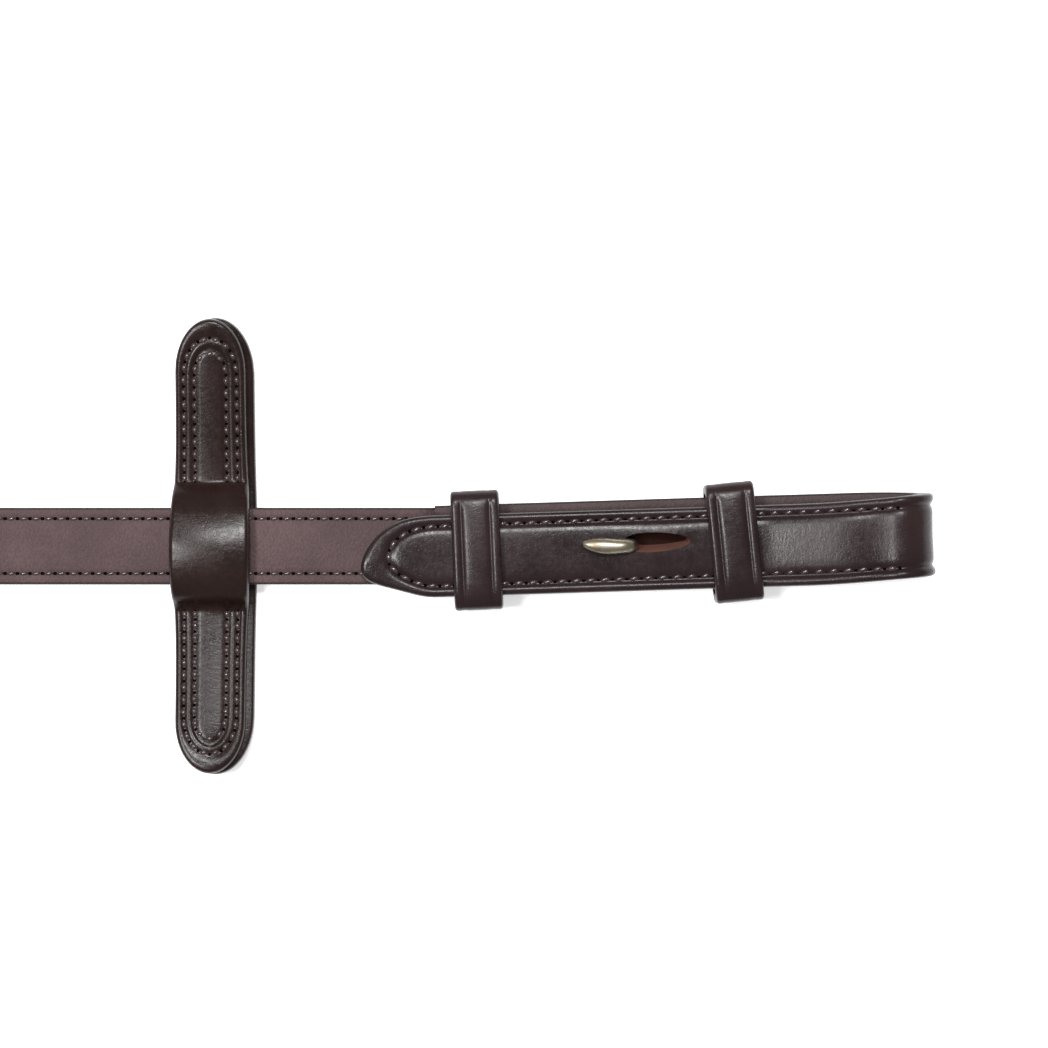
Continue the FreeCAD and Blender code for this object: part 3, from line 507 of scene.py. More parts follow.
class Finish:
    """Builds one node material; every method adds a node and returns its output."""

    def __init__(self, name):
        self.material = bpy.data.materials.new(name)
        self.material.use_nodes = True
        self.tree = self.material.node_tree
        self.shader = self.tree.nodes["Principled BSDF"]

    def feed(self, socket, value):
        """Links a node's output to a socket, or sets a constant there."""
        if isinstance(value, bpy.types.NodeSocket):
            self.tree.links.new(value, socket)
        else:
            socket.default_value = (*value, 1.0) if socket.type == "RGBA" else value

    def node(self, kind, links, **settings):
        node = self.tree.nodes.new(kind)
        for key, value in settings.items():
            setattr(node, key, value)
        for key, value in links.items():
            self.feed(node.inputs[key], value)
        return node

    def where(self, scale=(1, 1, 1), turn=0.0, source="Object"):
        coordinates = self.node("ShaderNodeTexCoord", {}).outputs[source]
        mapping = self.node("ShaderNodeMapping", {"Vector": coordinates, "Scale": scale, "Rotation": (0, 0, turn)})
        return mapping.outputs["Vector"]

    def noise(self, scale, detail=2.0, rough=0.5, vector=None, distortion=0.0):
        links = {"Scale": scale, "Detail": detail, "Roughness": rough, "Distortion": distortion}
        links["Vector"] = vector or self.where()
        return self.node("ShaderNodeTexNoise", links).outputs["Fac"]

    def cells(self, scale, vector=None):
        links = {"Scale": scale, "Vector": vector or self.where()}
        return self.node("ShaderNodeTexVoronoi", links).outputs["Distance"]

    def ramp(self, value, low, high, to_low=0.0, to_high=1.0):
        links = {"Value": value, "From Min": low, "From Max": high, "To Min": to_low, "To Max": to_high}
        return self.node("ShaderNodeMapRange", links).outputs["Result"]

    def add(self, a, b):
        return self.node("ShaderNodeMath", {0: a, 1: b}, operation="ADD").outputs[0]

    def mix(self, share, a, b):
        return self.node("ShaderNodeMix", {0: share, 6: a, 7: b}, data_type="RGBA").outputs[2]

    def bump(self, height, distance, strength, before=None):
        links = {"Height": height, "Distance": distance, "Strength": strength}
        if before:
            links["Normal"] = before
        return self.node("ShaderNodeBump", links).outputs["Normal"]

    def finish(self, color, roughness, normal=None, **constant):
        self.feed(self.shader.inputs["Base Color"], color)
        self.feed(self.shader.inputs["Roughness"], roughness)
        if normal:
            self.feed(self.shader.inputs["Normal"], normal)
        for name, value in constant.items():
            self.shader.inputs[name.replace("_", " ")].default_value = value
        return self.material


def bridle_leather(name, dark, light, rough, coat):
    """Waxed, dyed leather: soft clouds of colour, fine pores, creases that catch the light."""
    f = Finish(name)
    clouds = f.noise(60, detail=4, rough=0.6)
    pores = f.cells(2600)
    wrinkle = f.noise(900, detail=2, rough=0.6, distortion=0.4)
    bends = f.noise(1300, detail=1, rough=0.5, vector=f.where((1.0, 0.35, 1.0), source="UV"), distortion=0.6)
    color = f.mix(f.ramp(clouds, 0.35, 0.7), dark, light)
    color = f.mix(f.ramp(pores, 0.0, 0.25, 0.45, 0.0), color, shaded(dark, 0.45))
    dull = f.ramp(clouds, 0.3, 0.7, rough - 0.05, rough + 0.06)
    roughness = f.add(dull, f.ramp(wrinkle, 0.3, 0.7, -0.05, 0.07))
    normal = f.bump(f.ramp(pores, 0.0, 0.4), 0.00003, 0.5)
    normal = f.bump(wrinkle, 0.000035, 0.6, before=normal)
    normal = f.bump(bends, 0.000035, 0.7, before=normal)
    return f.finish(color, roughness, normal, Coat_Weight=coat, Coat_Roughness=0.22, Specular_IOR_Level=0.17)


def pebbled_lining(name, dark, light):
    """The grip side of the rein: matt, with a fine pebble that runs in slanting rows."""
    f = Finish(name)
    slant = f.where((1.0, 0.6, 1.0), math.radians(38), "UV")
    pebble = f.cells(2300, vector=slant)
    fine = f.noise(3200, detail=3, rough=0.6)
    clouds = f.noise(70, detail=3, rough=0.55)
    color = f.mix(f.ramp(clouds, 0.35, 0.7, 0.2, 0.9), dark, light)
    color = f.mix(f.ramp(pebble, 0.35, 0.75, 0.0, 0.35), color, shaded(dark, 0.6))
    roughness = f.ramp(fine, 0.3, 0.7, 0.62, 0.8)
    normal = f.bump(f.ramp(pebble, 0.0, 0.8, 1.0, 0.0), 0.00012, 0.7)
    normal = f.bump(fine, 0.00006, 0.5, before=normal)
    return f.finish(color, roughness, normal, Specular_IOR_Level=0.4)


def painted_edge(name, color, rough):
    """Edge paint or bare cut leather: uneven, with a dull shine."""
    f = Finish(name)
    fibre = f.noise(1500, detail=4, rough=0.7)
    clouds = f.noise(180, detail=2)
    shade = f.mix(f.ramp(clouds, 0.3, 0.7), shaded(color, 0.7), color)
    normal = f.bump(fibre, 0.00008, 0.6)
    return f.finish(shade, f.ramp(fibre, 0.3, 0.7, rough - 0.08, rough + 0.1), normal)


def waxed_thread(name, color, rough):
    """Twisted thread with a waxy shine."""
    f = Finish(name)
    links = {"Scale": 1500.0, "Distortion": 1.0, "Vector": f.where()}
    twist = f.node("ShaderNodeTexWave", links).outputs["Fac"]
    shade = f.mix(twist, shaded(color, 0.6), color)
    normal = f.bump(twist, 0.00001, 0.6)
    return f.finish(shade, rough, normal, Sheen_Weight=0.1, Specular_IOR_Level=0.9)


def hollow_shade(name, color):
    """Painted shade: a near-black finish for leather too deep in a hole to catch the light."""
    f = Finish(name)
    depth = f.noise(1200, detail=1)
    return f.finish(f.mix(depth, shaded(color, 0.5), color), 0.9, Specular_IOR_Level=0.02)


def cast_metal(name, dark, light, rough):
    """Polished metal with a little tarnish and fine scratches."""
    f = Finish(name)
    tarnish = f.noise(260, detail=4, rough=0.6)
    scratch = f.noise(1400, detail=2, vector=f.where((0.15, 1, 1)))
    color = f.mix(f.ramp(tarnish, 0.35, 0.7), light, dark)
    dull = f.ramp(tarnish, 0.3, 0.7, rough, rough + 0.15)
    roughness = f.add(dull, f.ramp(scratch, 0.4, 0.7, 0.0, 0.06))
    return f.finish(color, roughness, f.bump(scratch, 0.00001, 0.4), Metallic=1.0)


BRIDLE = bridle_leather("bridle_leather", (0.0125, 0.0064, 0.0072), (0.0235, 0.0125, 0.0132), 0.26, 0.05)
STOP_HIDE = bridle_leather("stop_leather", (0.0100, 0.0046, 0.0038), (0.0200, 0.0095, 0.0080), 0.25, 0.05)
TIE_HIDE = bridle_leather("tie_leather", (0.050, 0.026, 0.018), (0.085, 0.045, 0.030), 0.45, 0.1)
LINING_HIDE = pebbled_lining("lining_leather", (0.050, 0.026, 0.028), (0.093, 0.053, 0.055))
BILLET_LINING = pebbled_lining("billet_lining", (0.040, 0.024, 0.024), (0.066, 0.041, 0.041))
EDGE = painted_edge("painted_edge", (0.016, 0.008, 0.008), 0.40)
CUT_EDGE = painted_edge("cut_leather", (0.150, 0.060, 0.042), 0.7)
THREAD = waxed_thread("thread", (0.045, 0.023, 0.023), 0.22)
# Painted shade: near-black discs stand in for the shade inside the needle holes.
NEEDLE_HOLE_SHADE = hollow_shade("needle_hole_shade", (0.004, 0.0015, 0.002))
# Painted shade for the floor deep in the hook's slot.
SLOT_SHADE = hollow_shade("slot_shade", (0.022, 0.009, 0.007))
BRASS = cast_metal("pale_brass", (0.16, 0.13, 0.09), (0.38, 0.34, 0.27), 0.28)
STEEL = cast_metal("plate_steel", (0.25, 0.25, 0.26), (0.55, 0.55, 0.56), 0.35)


# ---- reins

REIN_SPACING = (2.0, 6.0)
BEND_WEIGHT = 40
TIP_STEPS = 20
ROW_STEPS = 400
NO_TIPS = (None, None)
SHOWN_LENGTH = 95.0
THREAD_SINK = 0.08


def stations_for(strip, fine, wide, tips):
    """Distances along a strip: close together where it bends or has a rounded end."""
    bend = np.linalg.norm(np.gradient(strip.along, strip.s, axis=0), axis=1)
    bend += np.linalg.norm(np.gradient(strip.face, strip.s, axis=0), axis=1)
    stations, s = [0.0], 0.0
    while s < strip.length:
        bent = min(1.0, BEND_WEIGHT * float(np.interp(s, strip.s, bend)))
        s += wide / (1 + (wide / fine - 1) * bent)
        stations.append(min(s, strip.length))
    steps = [1 - math.cos(math.pi / 2 * k / TIP_STEPS) for k in range(TIP_STEPS + 1)]
    if tips[0]:
        stations = [t for t in stations if t > tips[0].length] + [tips[0].length * step for step in steps]
    if tips[1]:
        start = strip.length - tips[1].length
        stations = [t for t in stations if t < start] + [strip.length - tips[1].length * step for step in steps]
    stations = sorted(set(round(t, 4) for t in stations))
    gaps = [True] + [b - a > 1e-3 for a, b in zip(stations, stations[1:])]
    return [t for t, gap in zip(stations, gaps) if gap]


def side_rows(start, stop, half=STRAP_HALF):
    """Two straight rows along a strip, one in from each edge."""
    s = np.linspace(start, stop, ROW_STEPS)
    return [np.stack([s, np.full(ROW_STEPS, sign * (half - STITCH_INSET))], axis=-1) for sign in (1, -1)]


def layer(name, strip, spacing, high, low, profile, hide, body="reins", half=STRAP_HALF, tips=NO_TIPS, **shape):
    """A layer of leather as a piece. spacing is the finest and the widest gap between its stations."""
    stations = stations_for(strip, *spacing, tips)
    points, faces, picks, uvs = sweep(strip, stations, half, high, low, profile, tips, **shape)
    return piece(name, points, faces, [hide, EDGE], body, picks, uvs)


def backwards(strip):
    """The same strip seen from its other face."""
    return Strip(strip.points, -strip.face)


def rein(side, start):
    """Outer leather, lining and both faces' stitching of one rein, from the buckle to the splice.

    Where only the coil shows it, the thread is simpler.
    """
    strip = rein_strip(side, start)
    inside = backwards(strip)
    leather = layer("rein_" + side, strip, REIN_SPACING, HALF_THICK, SEAM, SEWN_FACE, BRIDLE)
    lining = layer("rein_grip_" + side, inside, REIN_SPACING, HALF_THICK, -SEAM, SEWN_LINING, LINING_HIDE)
    end, shown, height = strip.length - 1.0, strip.length - SHOWN_LENGTH, HALF_THICK - THREAD_SINK
    threads = []
    for face, line in (("outer", strip), ("grip", inside)):
        parts = (
            stitch_rows(line, side_rows(2.0, shown), REIN_PITCH, height, rings=3, around=4, wide=0.6),
            stitch_rows(line, side_rows(shown, end), REIN_PITCH, height, hole=1.15),
        )
        threads.append(sewing(f"rein_thread_{face}_{side}", parts))
    return strip, leather, lining, threads


def tell_cord(strip, strap):
    """Lists the rein's points in metres, from the splice to the buckle, and keeps nothing."""
    along = strip.points[::-1]
    [tuple(p * MM) for p in along]


# ---- bit ends

BIT_REACH = 103.5
BIT_RADIUS = 4.0
LOOP_START = 68.0
LOOP_EASE = 25.0
LOOP_TOP = 96.1
LOOP_HOLLOW = 0.55
LOOP_HALF = 22.0
BILLET_HALF = 8.5
BILLET_SPACING = (1.0, 3.0)
DENT_PLACE = 108.0
DENT_DEPTH = 0.45
DENT_REACH = 3.6

# The tail lies a little to one side, and crosses to the other in the loop.
TAIL_LAP = 15.6
TAIL_ASIDE = 1.0
TAIL_TIP = Tip(15.0, sharp=1.65, draw_back=3.3)
TAIL_ROW = 5.6
TAIL_Z = LIFT + LEATHER + 2 * LINING + LAYER_GAP
CROSS_START = 92.0
CROSS_PAST = 8.0

SLOT_PLACE = 45.8
SLOT_LENGTH = 14.2
SLOT_WIDTH = 4.4
SLOT_ASIDE = 1.4
SLOT_POINTS = 24
SLOT_LIP = 0.24


def rounded_line(corners, radii, step=0.5):
    """A line through corners, the inner ones rounded, as points close together."""
    corners = [np.asarray(c, float) for c in corners]
    line = [corners[0]]
    for before, corner, after, radius in zip(corners, corners[1:], corners[2:], radii):
        a, b = unit(before - corner), unit(after - corner)
        half = math.acos(max(-1.0, min(1.0, float(a @ b)))) / 2
        centre = corner + unit(a + b) * radius / math.sin(half)
        first = corner + a * radius / math.tan(half) - centre
        last = corner + b * radius / math.tan(half) - centre
        turn = math.pi - 2 * half
        count = max(6, int(turn * radius / step))
        for k in range(count + 1):
            angle = turn * k / count
            line.append(centre + (first * math.sin(turn - angle) + last * math.sin(angle)) / math.sin(turn))
    line.append(corners[-1])
    return spaced(line, step)


def upright_strip(line, place, beside=(1, 0, 0)):
    """A strip in a plane whose normal is beside; place puts its points in the row frame."""
    face = unit(np.cross(np.gradient(line, axis=0), beside))
    return Strip(place(line), place(line + face) - place(line))


def billet_strip(side):
    """The seam between the billet's leather and lining: from the tail's tip, round the bit, to the splice."""
    radius = BIT_RADIUS + LINING
    centre_z = radius + LEATHER
    centre_x = BIT_REACH - centre_z
    base_z = LIFT + LEATHER

    def slope(height, way):
        run, rise = centre_x - LOOP_START, centre_z - height
        return math.atan2(rise, run) + way * math.asin(radius / math.hypot(run, rise))

    far = centre_x + radius
    corners = [
        (-TAIL_LAP, 0, TAIL_Z),
        (LOOP_START, 0, TAIL_Z),
        (far, 0, TAIL_Z + (far - LOOP_START) * math.tan(slope(TAIL_Z, 1))),
        (far, 0, base_z + (far - LOOP_START) * math.tan(slope(base_z, -1))),
        (LOOP_START, 0, base_z),
        (0, 0, base_z),
    ]
    line = rounded_line(corners, [LOOP_EASE, radius, radius, LOOP_EASE])
    return upright_strip(line, lambda points: from_end(points, side), (0, 1, 0))


def carve(obj, mesh):
    """Cuts a closed mesh out of a piece; the walls keep the cutter's material."""
    cutter = placed("cutter", mesh)
    cut = obj.modifiers.new("cut", "BOOLEAN")
    cut.operation = "DIFFERENCE"
    cut.solver = "EXACT"
    cut.material_mode = "TRANSFER"
    cut.use_self = True
    cut.object = cutter
    done = bpy.data.meshes.new_from_object(obj.evaluated_get(bpy.context.evaluated_depsgraph_get()))
    obj.modifiers.clear()
    done.name = obj.data.name
    done.set_sharp_from_angle(angle=math.radians(50))
    obj.data = done
    bpy.data.objects.remove(cutter)
    bpy.data.meshes.remove(mesh)


def cut_slot(obj, side):
    """Cuts the hook's slot through the tail, with bare cut leather for its walls.

    It narrows away from the hook, and its far wall slants in to a floor painted dark as shade.
    """
    slot_y = SLOT_ASIDE - TAIL_ASIDE
    low, high = TAIL_Z - LINING - 0.2, TAIL_Z + LEATHER + 1.2
    floor, mouth = [], []
    for c, s in circle(SLOT_POINTS):
        x = SLOT_PLACE + SLOT_LENGTH / 2 * math.copysign(abs(c) ** 0.95, c)
        y = slot_y + SLOT_WIDTH / 2 * (1 - 0.2 * c) * math.copysign(abs(s) ** 0.9, s)
        floor.append((SLOT_PLACE + 0.92 * (x - SLOT_PLACE), slot_y + 0.55 * (y - slot_y) + 0.8, low))
        mouth.append((x, y, high))
    faces = ring_faces(2, SLOT_POINTS)
    # The floor cap takes the painted shade.
    picks = [0] * SLOT_POINTS + [1, 1]
    carve(obj, closed_mesh("slot_cutter", from_end(floor + mouth, side), faces, [CUT_EDGE, SLOT_SHADE], picks))


def billet(side):
    """The billet's leather, lining and thread."""
    strip = billet_strip(side)
    base_from = strip.length - LOOP_TOP
    tail_to = LOOP_TOP + TAIL_LAP
    loop_at = (tail_to + base_from) / 2
    slot_at = TAIL_LAP + SLOT_PLACE + 1

    def shift(s):
        near = min(s / TAIL_TIP.length, 1.0)
        skew = 0.35 * math.sin(math.pi * near) ** 2 - 2.0 * (1 - near) ** 4
        return TAIL_ASIDE * (2 * ease((s - CROSS_START) / (base_from + CROSS_PAST - CROSS_START)) - 1) + skew

    def crown(s, a):
        hollow = -LOOP_HOLLOW * ease(1 - abs(s - loop_at) / LOOP_HALF) * (1 - (a / STRAP_HALF) ** 2)
        near_slot = math.exp(-((s - slot_at) / 8.0) ** 2) * math.exp(-((abs(a - SLOT_ASIDE) - 1.9) / 2.2) ** 2)
        dent = DENT_DEPTH * math.exp(-((s - DENT_PLACE) / DENT_REACH) ** 2)
        return hollow + SLOT_LIP * near_slot - dent

    shape = {"half": BILLET_HALF, "tips": (TAIL_TIP, None)}
    leather = layer(
        "billet_leather_" + side, strip, BILLET_SPACING, LEATHER, 0.0, SEWN_FACE, BRIDLE, shift=shift,
        crown=crown, **shape
    )
    lining = layer(
        "billet_inside_" + side, backwards(strip), BILLET_SPACING, LINING, 0.0, SEWN_LINING, BILLET_LINING,
        shift=lambda s: -shift(s), **shape
    )
    rows = [TAIL_TIP.row(BILLET_HALF - STITCH_INSET, TAIL_ROW, tail_to)]
    rows += side_rows(base_from, strip.length - 1, BILLET_HALF)
    for row in rows:
        row[:, 1] += [shift(s) for s in row[:, 0]]
    run = stitch_rows(
        strip, rows, BILLET_PITCH, lambda s, a: LEATHER - 0.2 + crown(s, a - shift(s)), length=2.2, wide=0.95,
        tall=0.75, slant=16.0, hole=1.0
    )
    thread = sewing("billet_thread_" + side, [run])
    cut_slot(leather, side)
    cut_slot(lining, side)
    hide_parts("billet_" + side)
    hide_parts("billet_lining_" + side)
    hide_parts("billet_stitching_" + side)


for side in SIDES:
    billet(side)


# ---- keepers and hook studs

KEEPER_WIDTH = 10.0
KEEPER_SPAN = 24.8
KEEPER_HEIGHT = 11.65
KEEPER_WALL = 1.9
KEEPER_CORNER = 2.6
BAND_STEP = 0.35
BAND_SPACING = (0.5, 2.5)
BAND_GAP = 0.03
STUD_PLACE = 40.6
STUD_HEIGHT = 10.9
STUD_REACH = 10.4
STUD_BEND = 2.2
STUD_FOOT = 3.6
STUD_HALF = 1.5


def band(name, body, place, span, height, wall, width, corner, hide=BRIDLE, dome=0.3, profile=CREASED_FACE):
    """A leather strap closed into a loop: its ends meet under the middle. place puts it in the row frame."""
    y, bottom, top = span / 2 - wall / 2, wall / 2, height - wall / 2
    corners = [(0, BAND_GAP, bottom), (0, y, bottom), (0, y, top), (0, -y, top), (0, -y, bottom)]
    line = rounded_line(corners + [(0, -BAND_GAP, bottom)], [corner - wall / 2] * 4, step=BAND_STEP)
    strip = upright_strip(line, place)
    over = strip.length / 2

    def crown(s, a):
        return dome * ease(1 - abs(s - over) / (span / 2)) * (1 - (a / width) ** 2)

    def creased(s):
        return 0.15 + 0.85 * ease((span / 2 - 1.5 - abs(s - over)) / 3.0)

    return layer(name, strip, BAND_SPACING, wall / 2, -wall / 2, profile, hide, body, width / 2, crown=crown,
                 relief=creased)


def keeper(kind, side, along, tilt, body):
    """tilt is how far the keeper has slewed from square across the end."""

    def place(points):
        return from_end(turned(points, math.radians(tilt), (along, 0, 0)), side)

    obj = band(f"{kind}_loop_{side}", body, place, KEEPER_SPAN, KEEPER_HEIGHT, KEEPER_WALL, KEEPER_WIDTH,
               KEEPER_CORNER)
    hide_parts(f"{kind}_keeper_{side}")


def rod(path, size, around):
    """An oval rod along a flat path; its points' last coordinate is across the path's plane.

    size gives the half depth, half breadth and shift across at a place's index and first coordinate.
    """
    points = []
    for index, here in enumerate(path):
        ahead = unit(path[min(index + 1, len(path) - 1)] - path[max(index - 1, 0)])
        out = np.array([-ahead[1], ahead[0]])
        deep, broad, aside = size(index, here[0])
        points += [(*(here + out * deep * s), aside + broad * c) for c, s in circle(around)]
    return np.array(points), ring_faces(len(path), around)


def hook_stud(side):
    """A flattened tongue of brass on a round neck, its point a little to one side."""
    bend = [math.pi / 2 * k / 10 for k in range(11)]
    rise = STUD_HEIGHT - STUD_BEND
    flat = STUD_REACH - STUD_BEND
    path = [(0.0, STUD_FOOT + (rise - STUD_FOOT) * k / 8) for k in range(8)]
    path += [(STUD_BEND * (math.cos(a) - 1), rise + STUD_BEND * math.sin(a)) for a in bend]
    path += [(-STUD_BEND - flat * k / 24, STUD_HEIGHT) for k in range(1, 25)]

    def size(index, x):
        done = min(max((-x - STUD_BEND) / flat, 0.0), 1.0)
        broad = (STUD_HALF + 0.22 * math.sin(math.pi * done)) * rounding((done - 0.3) / 0.7, 2.2)
        deep = (STUD_HALF - 0.35 * done) * rounding((done - 0.5) / 0.5, 2.4)
        return max(0.03, deep), max(0.03, broad), 0.75 * done ** 2 - 0.1

    points, faces = rod(np.array(path), size, 24)
    points = points[:, [0, 2, 1]] + (STUD_PLACE, 0, 0)
    obj = piece("hook_" + side, from_end(points, side), faces, [BRASS], "reins")
    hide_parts("hook_stud_" + side)


# The hook plates stay as they are in the CAD, and only get a finish of their own.
for side in SIDES:
    keeper("fixed", side, 61.9, 4.0, "reins")
    keeper("runner", side, 8.5, 0.7, "runner_" + side)
    hook_stud(side)
    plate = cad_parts["hook_plate_" + side].data.materials
    plate.clear()
    plate.append(STEEL)


# ---- rein stops

STOP_PLACE = 252.7
STOP_LENGTH = 95.2
STOP_BACK = 1.9
STOP_FRONT = 2.1
STOP_FRONT_HALF = 7.3
STOP_FRONT_SHORT = 0.3
STOP_FRONT_ASIDE = -0.65
STOP_BACK_ASIDE = 0.3
STOP_TIP = Tip(9.2, draw_back=2.0)

# The front layer rises from its foot over the rein, and both ends curl up from there on.
STOP_FOOT = 12.4
STOP_STEP_HALF = 8.5
STOP_HIGH = 6.1
STOP_CURL = 4.6
STOP_CURL_START = 12.0
STOP_CURL_RUN = 36.0
BELLY = 2.1

# Two rows of stitches round each end: how far from the middle, and how far from the tip.
STOP_ROWS = ((5.5, 3.9), (3.3, 6.9))
STOP_ROW_STOP = 13.0
STOP_FACE = (
    (0.0, -0.7), (0.1, -0.38), (0.3, -0.14), (0.6, 0.0), (0.9, 0.05), (1.25, 0.0), (1.5, -0.16), (1.8, -0.24),
    (2.1, -0.16), (2.4, -0.02), (2.85, 0.04), (3.35, -0.02), (3.6, -0.14), (4.0, -0.22), (4.4, -0.14),
    (4.8, 0.0), (5.4, 0.06), (7.3, 0.08),
)


def stop(side):
    """Two layers of leather, sewn together at each end, with the rein between them in the middle."""

    def place(points):
        points = np.add(points, (STOP_PLACE, 0, 0))
        past = (np.abs(points[:, 1]) - STOP_CURL_START) / STOP_CURL_RUN
        points[:, 2] += STOP_CURL * np.clip(past, 0, 2) ** 1.15
        return to_side(points, side)

    body = "stop_" + side
    tip = STOP_LENGTH / 2
    short = tip - STOP_FRONT_SHORT
    back_strip = upright_strip(spaced([(0, tip, 0), (0, -tip, 0)], 0.5), place)
    half_line = [(0, short, STOP_BACK), (0, STOP_FOOT, STOP_BACK), (0, STOP_STEP_HALF, STOP_HIGH)]
    front_line = rounded_line(half_line + [(0, -y, z) for _, y, z in reversed(half_line)], [4.0, 4.5, 4.5, 4.0])
    front_strip = upright_strip(front_line, place)
    centre = front_strip.length / 2

    def back_width(s):
        return 1.0 + 0.05 * math.exp(-((s - tip) / 14.0) ** 2)

    def front_width(s):
        return 1.0 + 0.14 * math.exp(-((s - centre) / 15.0) ** 2)

    def belly(s, a):
        return BELLY * max(0.0, 1 - ((s - centre - 1.5) / 9.5) ** 2) * (1 - 0.2 * (a / STRAP_HALF) ** 2)

    def sewn(s):
        return ease((abs(s - centre) - 12.0) / 3.0)

    tips = (STOP_TIP, STOP_TIP)
    back = layer(
        "stop_under_" + side, back_strip, (1.0, 2.5), STOP_BACK, 0.0, PLAIN_FACE, STOP_HIDE, body,
        tips=tips, width=back_width, shift=lambda s: STOP_BACK_ASIDE
    )
    front = layer(
        "stop_over_" + side, front_strip, (0.7, 2.0), STOP_FRONT, 0.0, STOP_FACE, STOP_HIDE, body,
        STOP_FRONT_HALF, tips, width=front_width, crown=belly, shift=lambda s: STOP_FRONT_ASIDE, relief=sewn
    )
    rows = []
    for row_half, start in STOP_ROWS:
        row = STOP_TIP.row(row_half, start, tip - STOP_ROW_STOP) + (0, STOP_FRONT_ASIDE)
        rows += [row, np.stack([front_strip.length - row[:, 0], row[:, 1]], axis=-1)]
    over = stitch_rows(
        front_strip, rows, REIN_PITCH, STOP_FRONT - 0.1, length=1.75, wide=0.95, tall=0.85, slant=20.0
    )
    rows = [row * (1, -1) for row in rows]
    under = stitch_rows(backwards(back_strip), rows, REIN_PITCH, -0.26, length=1.9, rings=3, around=4)
    thread = sewing("stop_thread_" + side, [over, under], body)
    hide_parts("stop_back_" + side)
    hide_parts("stop_front_" + side)
    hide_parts("stop_stitching_" + side)


for side in SIDES:
    stop(side)


# ---- ties round the coil

TIE_PLACE = 62.0
TIE_WIDTH = 8.0
TIE_WALL = 0.8
TIE_SPAN = 87.8
TIE_TOP = 17.6
TIE_CORNER = 1.6
TIE_RISE = 2.0
TIE_RISE_HALF = 6.0
LAP_FROM = 31.0
LAP_TO = 9.0
BUTTON_PLACE = 20.0
BUTTON_SINK = 0.05
BUTTON_POINTS = 32
BUTTON = ((0.0, 2.9), (0.35, 2.95), (0.75, 2.75), (1.05, 2.2), (1.2, 1.3), (1.25, 0.0))


def tie(side):
    """A soft leather band, closed by a small brass button on its lapped end.

    It drapes over the strap that runs along the middle of the coil.
    """

    def place(points):
        points = np.add(points, (TIE_PLACE, 0, 0))
        over = TIE_RISE * np.exp(-((points[:, 1] / TIE_RISE_HALF) ** 2))
        points[:, 2] += np.where(points[:, 2] > TIE_TOP / 2, over, 0.0)
        return to_side(points, side)

    obj = band("tie_band_" + side, "reins", place, TIE_SPAN, TIE_TOP, TIE_WALL, TIE_WIDTH, TIE_CORNER, TIE_HIDE,
               dome=0.0, profile=THIN_FACE)
    lap = upright_strip(spaced([(0, LAP_FROM, TIE_TOP), (0, LAP_TO, TIE_TOP)], 0.5), place)
    tip = Tip(3.5)
    over = layer("tie_lap_" + side, lap, (0.5, 2.0), TIE_WALL, 0.0, THIN_FACE, TIE_HIDE, half=TIE_WIDTH / 2,
                 tips=(tip, tip))
    points = []
    for height, radius in BUTTON:
        z = TIE_TOP + TIE_WALL - BUTTON_SINK + height
        points += [(radius * c, BUTTON_PLACE + radius * s, z) for c, s in circle(BUTTON_POINTS)]
    faces = ring_faces(len(BUTTON), BUTTON_POINTS)
    button = piece("tie_button_" + side, place(points), faces, [BRASS], "reins")
    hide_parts("coil_tie_" + side)
    return [obj, over, button]


ties = {side: tie(side) for side in SIDES}


# ---- centre buckle

BAR = (6.0, 0.0, BUCKLE_Z)
BAR_GAP = 0.3
BUCKLE_LENGTH = 23.0
BUCKLE_HEIGHT = 22.6
BUCKLE_WIRE = 3.0
BUCKLE_CORNERS = (4.2, 4.2, 2.1, 2.1)
BUCKLE_TILT = 10.0
WIRE_POINTS = 20
TONGUE_TILT = 19.0
TONGUE_REACH = 21.5
TONGUE_WIDTH = 3.4
TONGUE_CLEAR = 0.1
TONGUE_HALF = 0.62
TONGUE_SLOT = 4.6
CHAPE_REACH = 30.0
POINT_REACH = 40.0
POINT_THICK = 3.0
POINT_SHIFT = 5.9
POINT_BEND = 12.0
HOLE_PLACE = 9.4
HOLE_LENGTH = 10.0
HOLE_WIDTH = 3.9
HOLE_PITCH = 18.0
HOLE_POINTS = 32
WINDOW = 45.0
CENTRE_KEEPER_PLACE = 22.0
FIRST_X = 15.0


def buckle_frame():
    """A cast round-wire frame, a little thicker at its nose."""
    far, half = -(BUCKLE_LENGTH - BUCKLE_WIRE), (BUCKLE_HEIGHT - BUCKLE_WIRE) / 2
    corners = [(far / 2, 0, half), (far, 0, half), (far, 0, -half), (0, 0, -half), (0, 0, half), (far / 2, 0, half)]
    line = rounded_line(corners, BUCKLE_CORNERS, step=0.6)[:-1]
    points = []
    for index, centre in enumerate(line):
        out = np.cross(unit(line[(index + 1) % len(line)] - line[index - 1]), (0, 1, 0))
        radius = BUCKLE_WIRE / 2 * (1 + 0.10 * ease((-centre[0] - 14.0) / 6.0))
        points += [centre + out * radius * c + (0, radius * s, 0) for c, s in circle(WIRE_POINTS)]
    faces = ring_faces(len(line), WIRE_POINTS, closed=True)
    points = turned(points, math.radians(BUCKLE_TILT), BAR)
    return piece("frame_wire", points, faces, [BRASS], "reins")


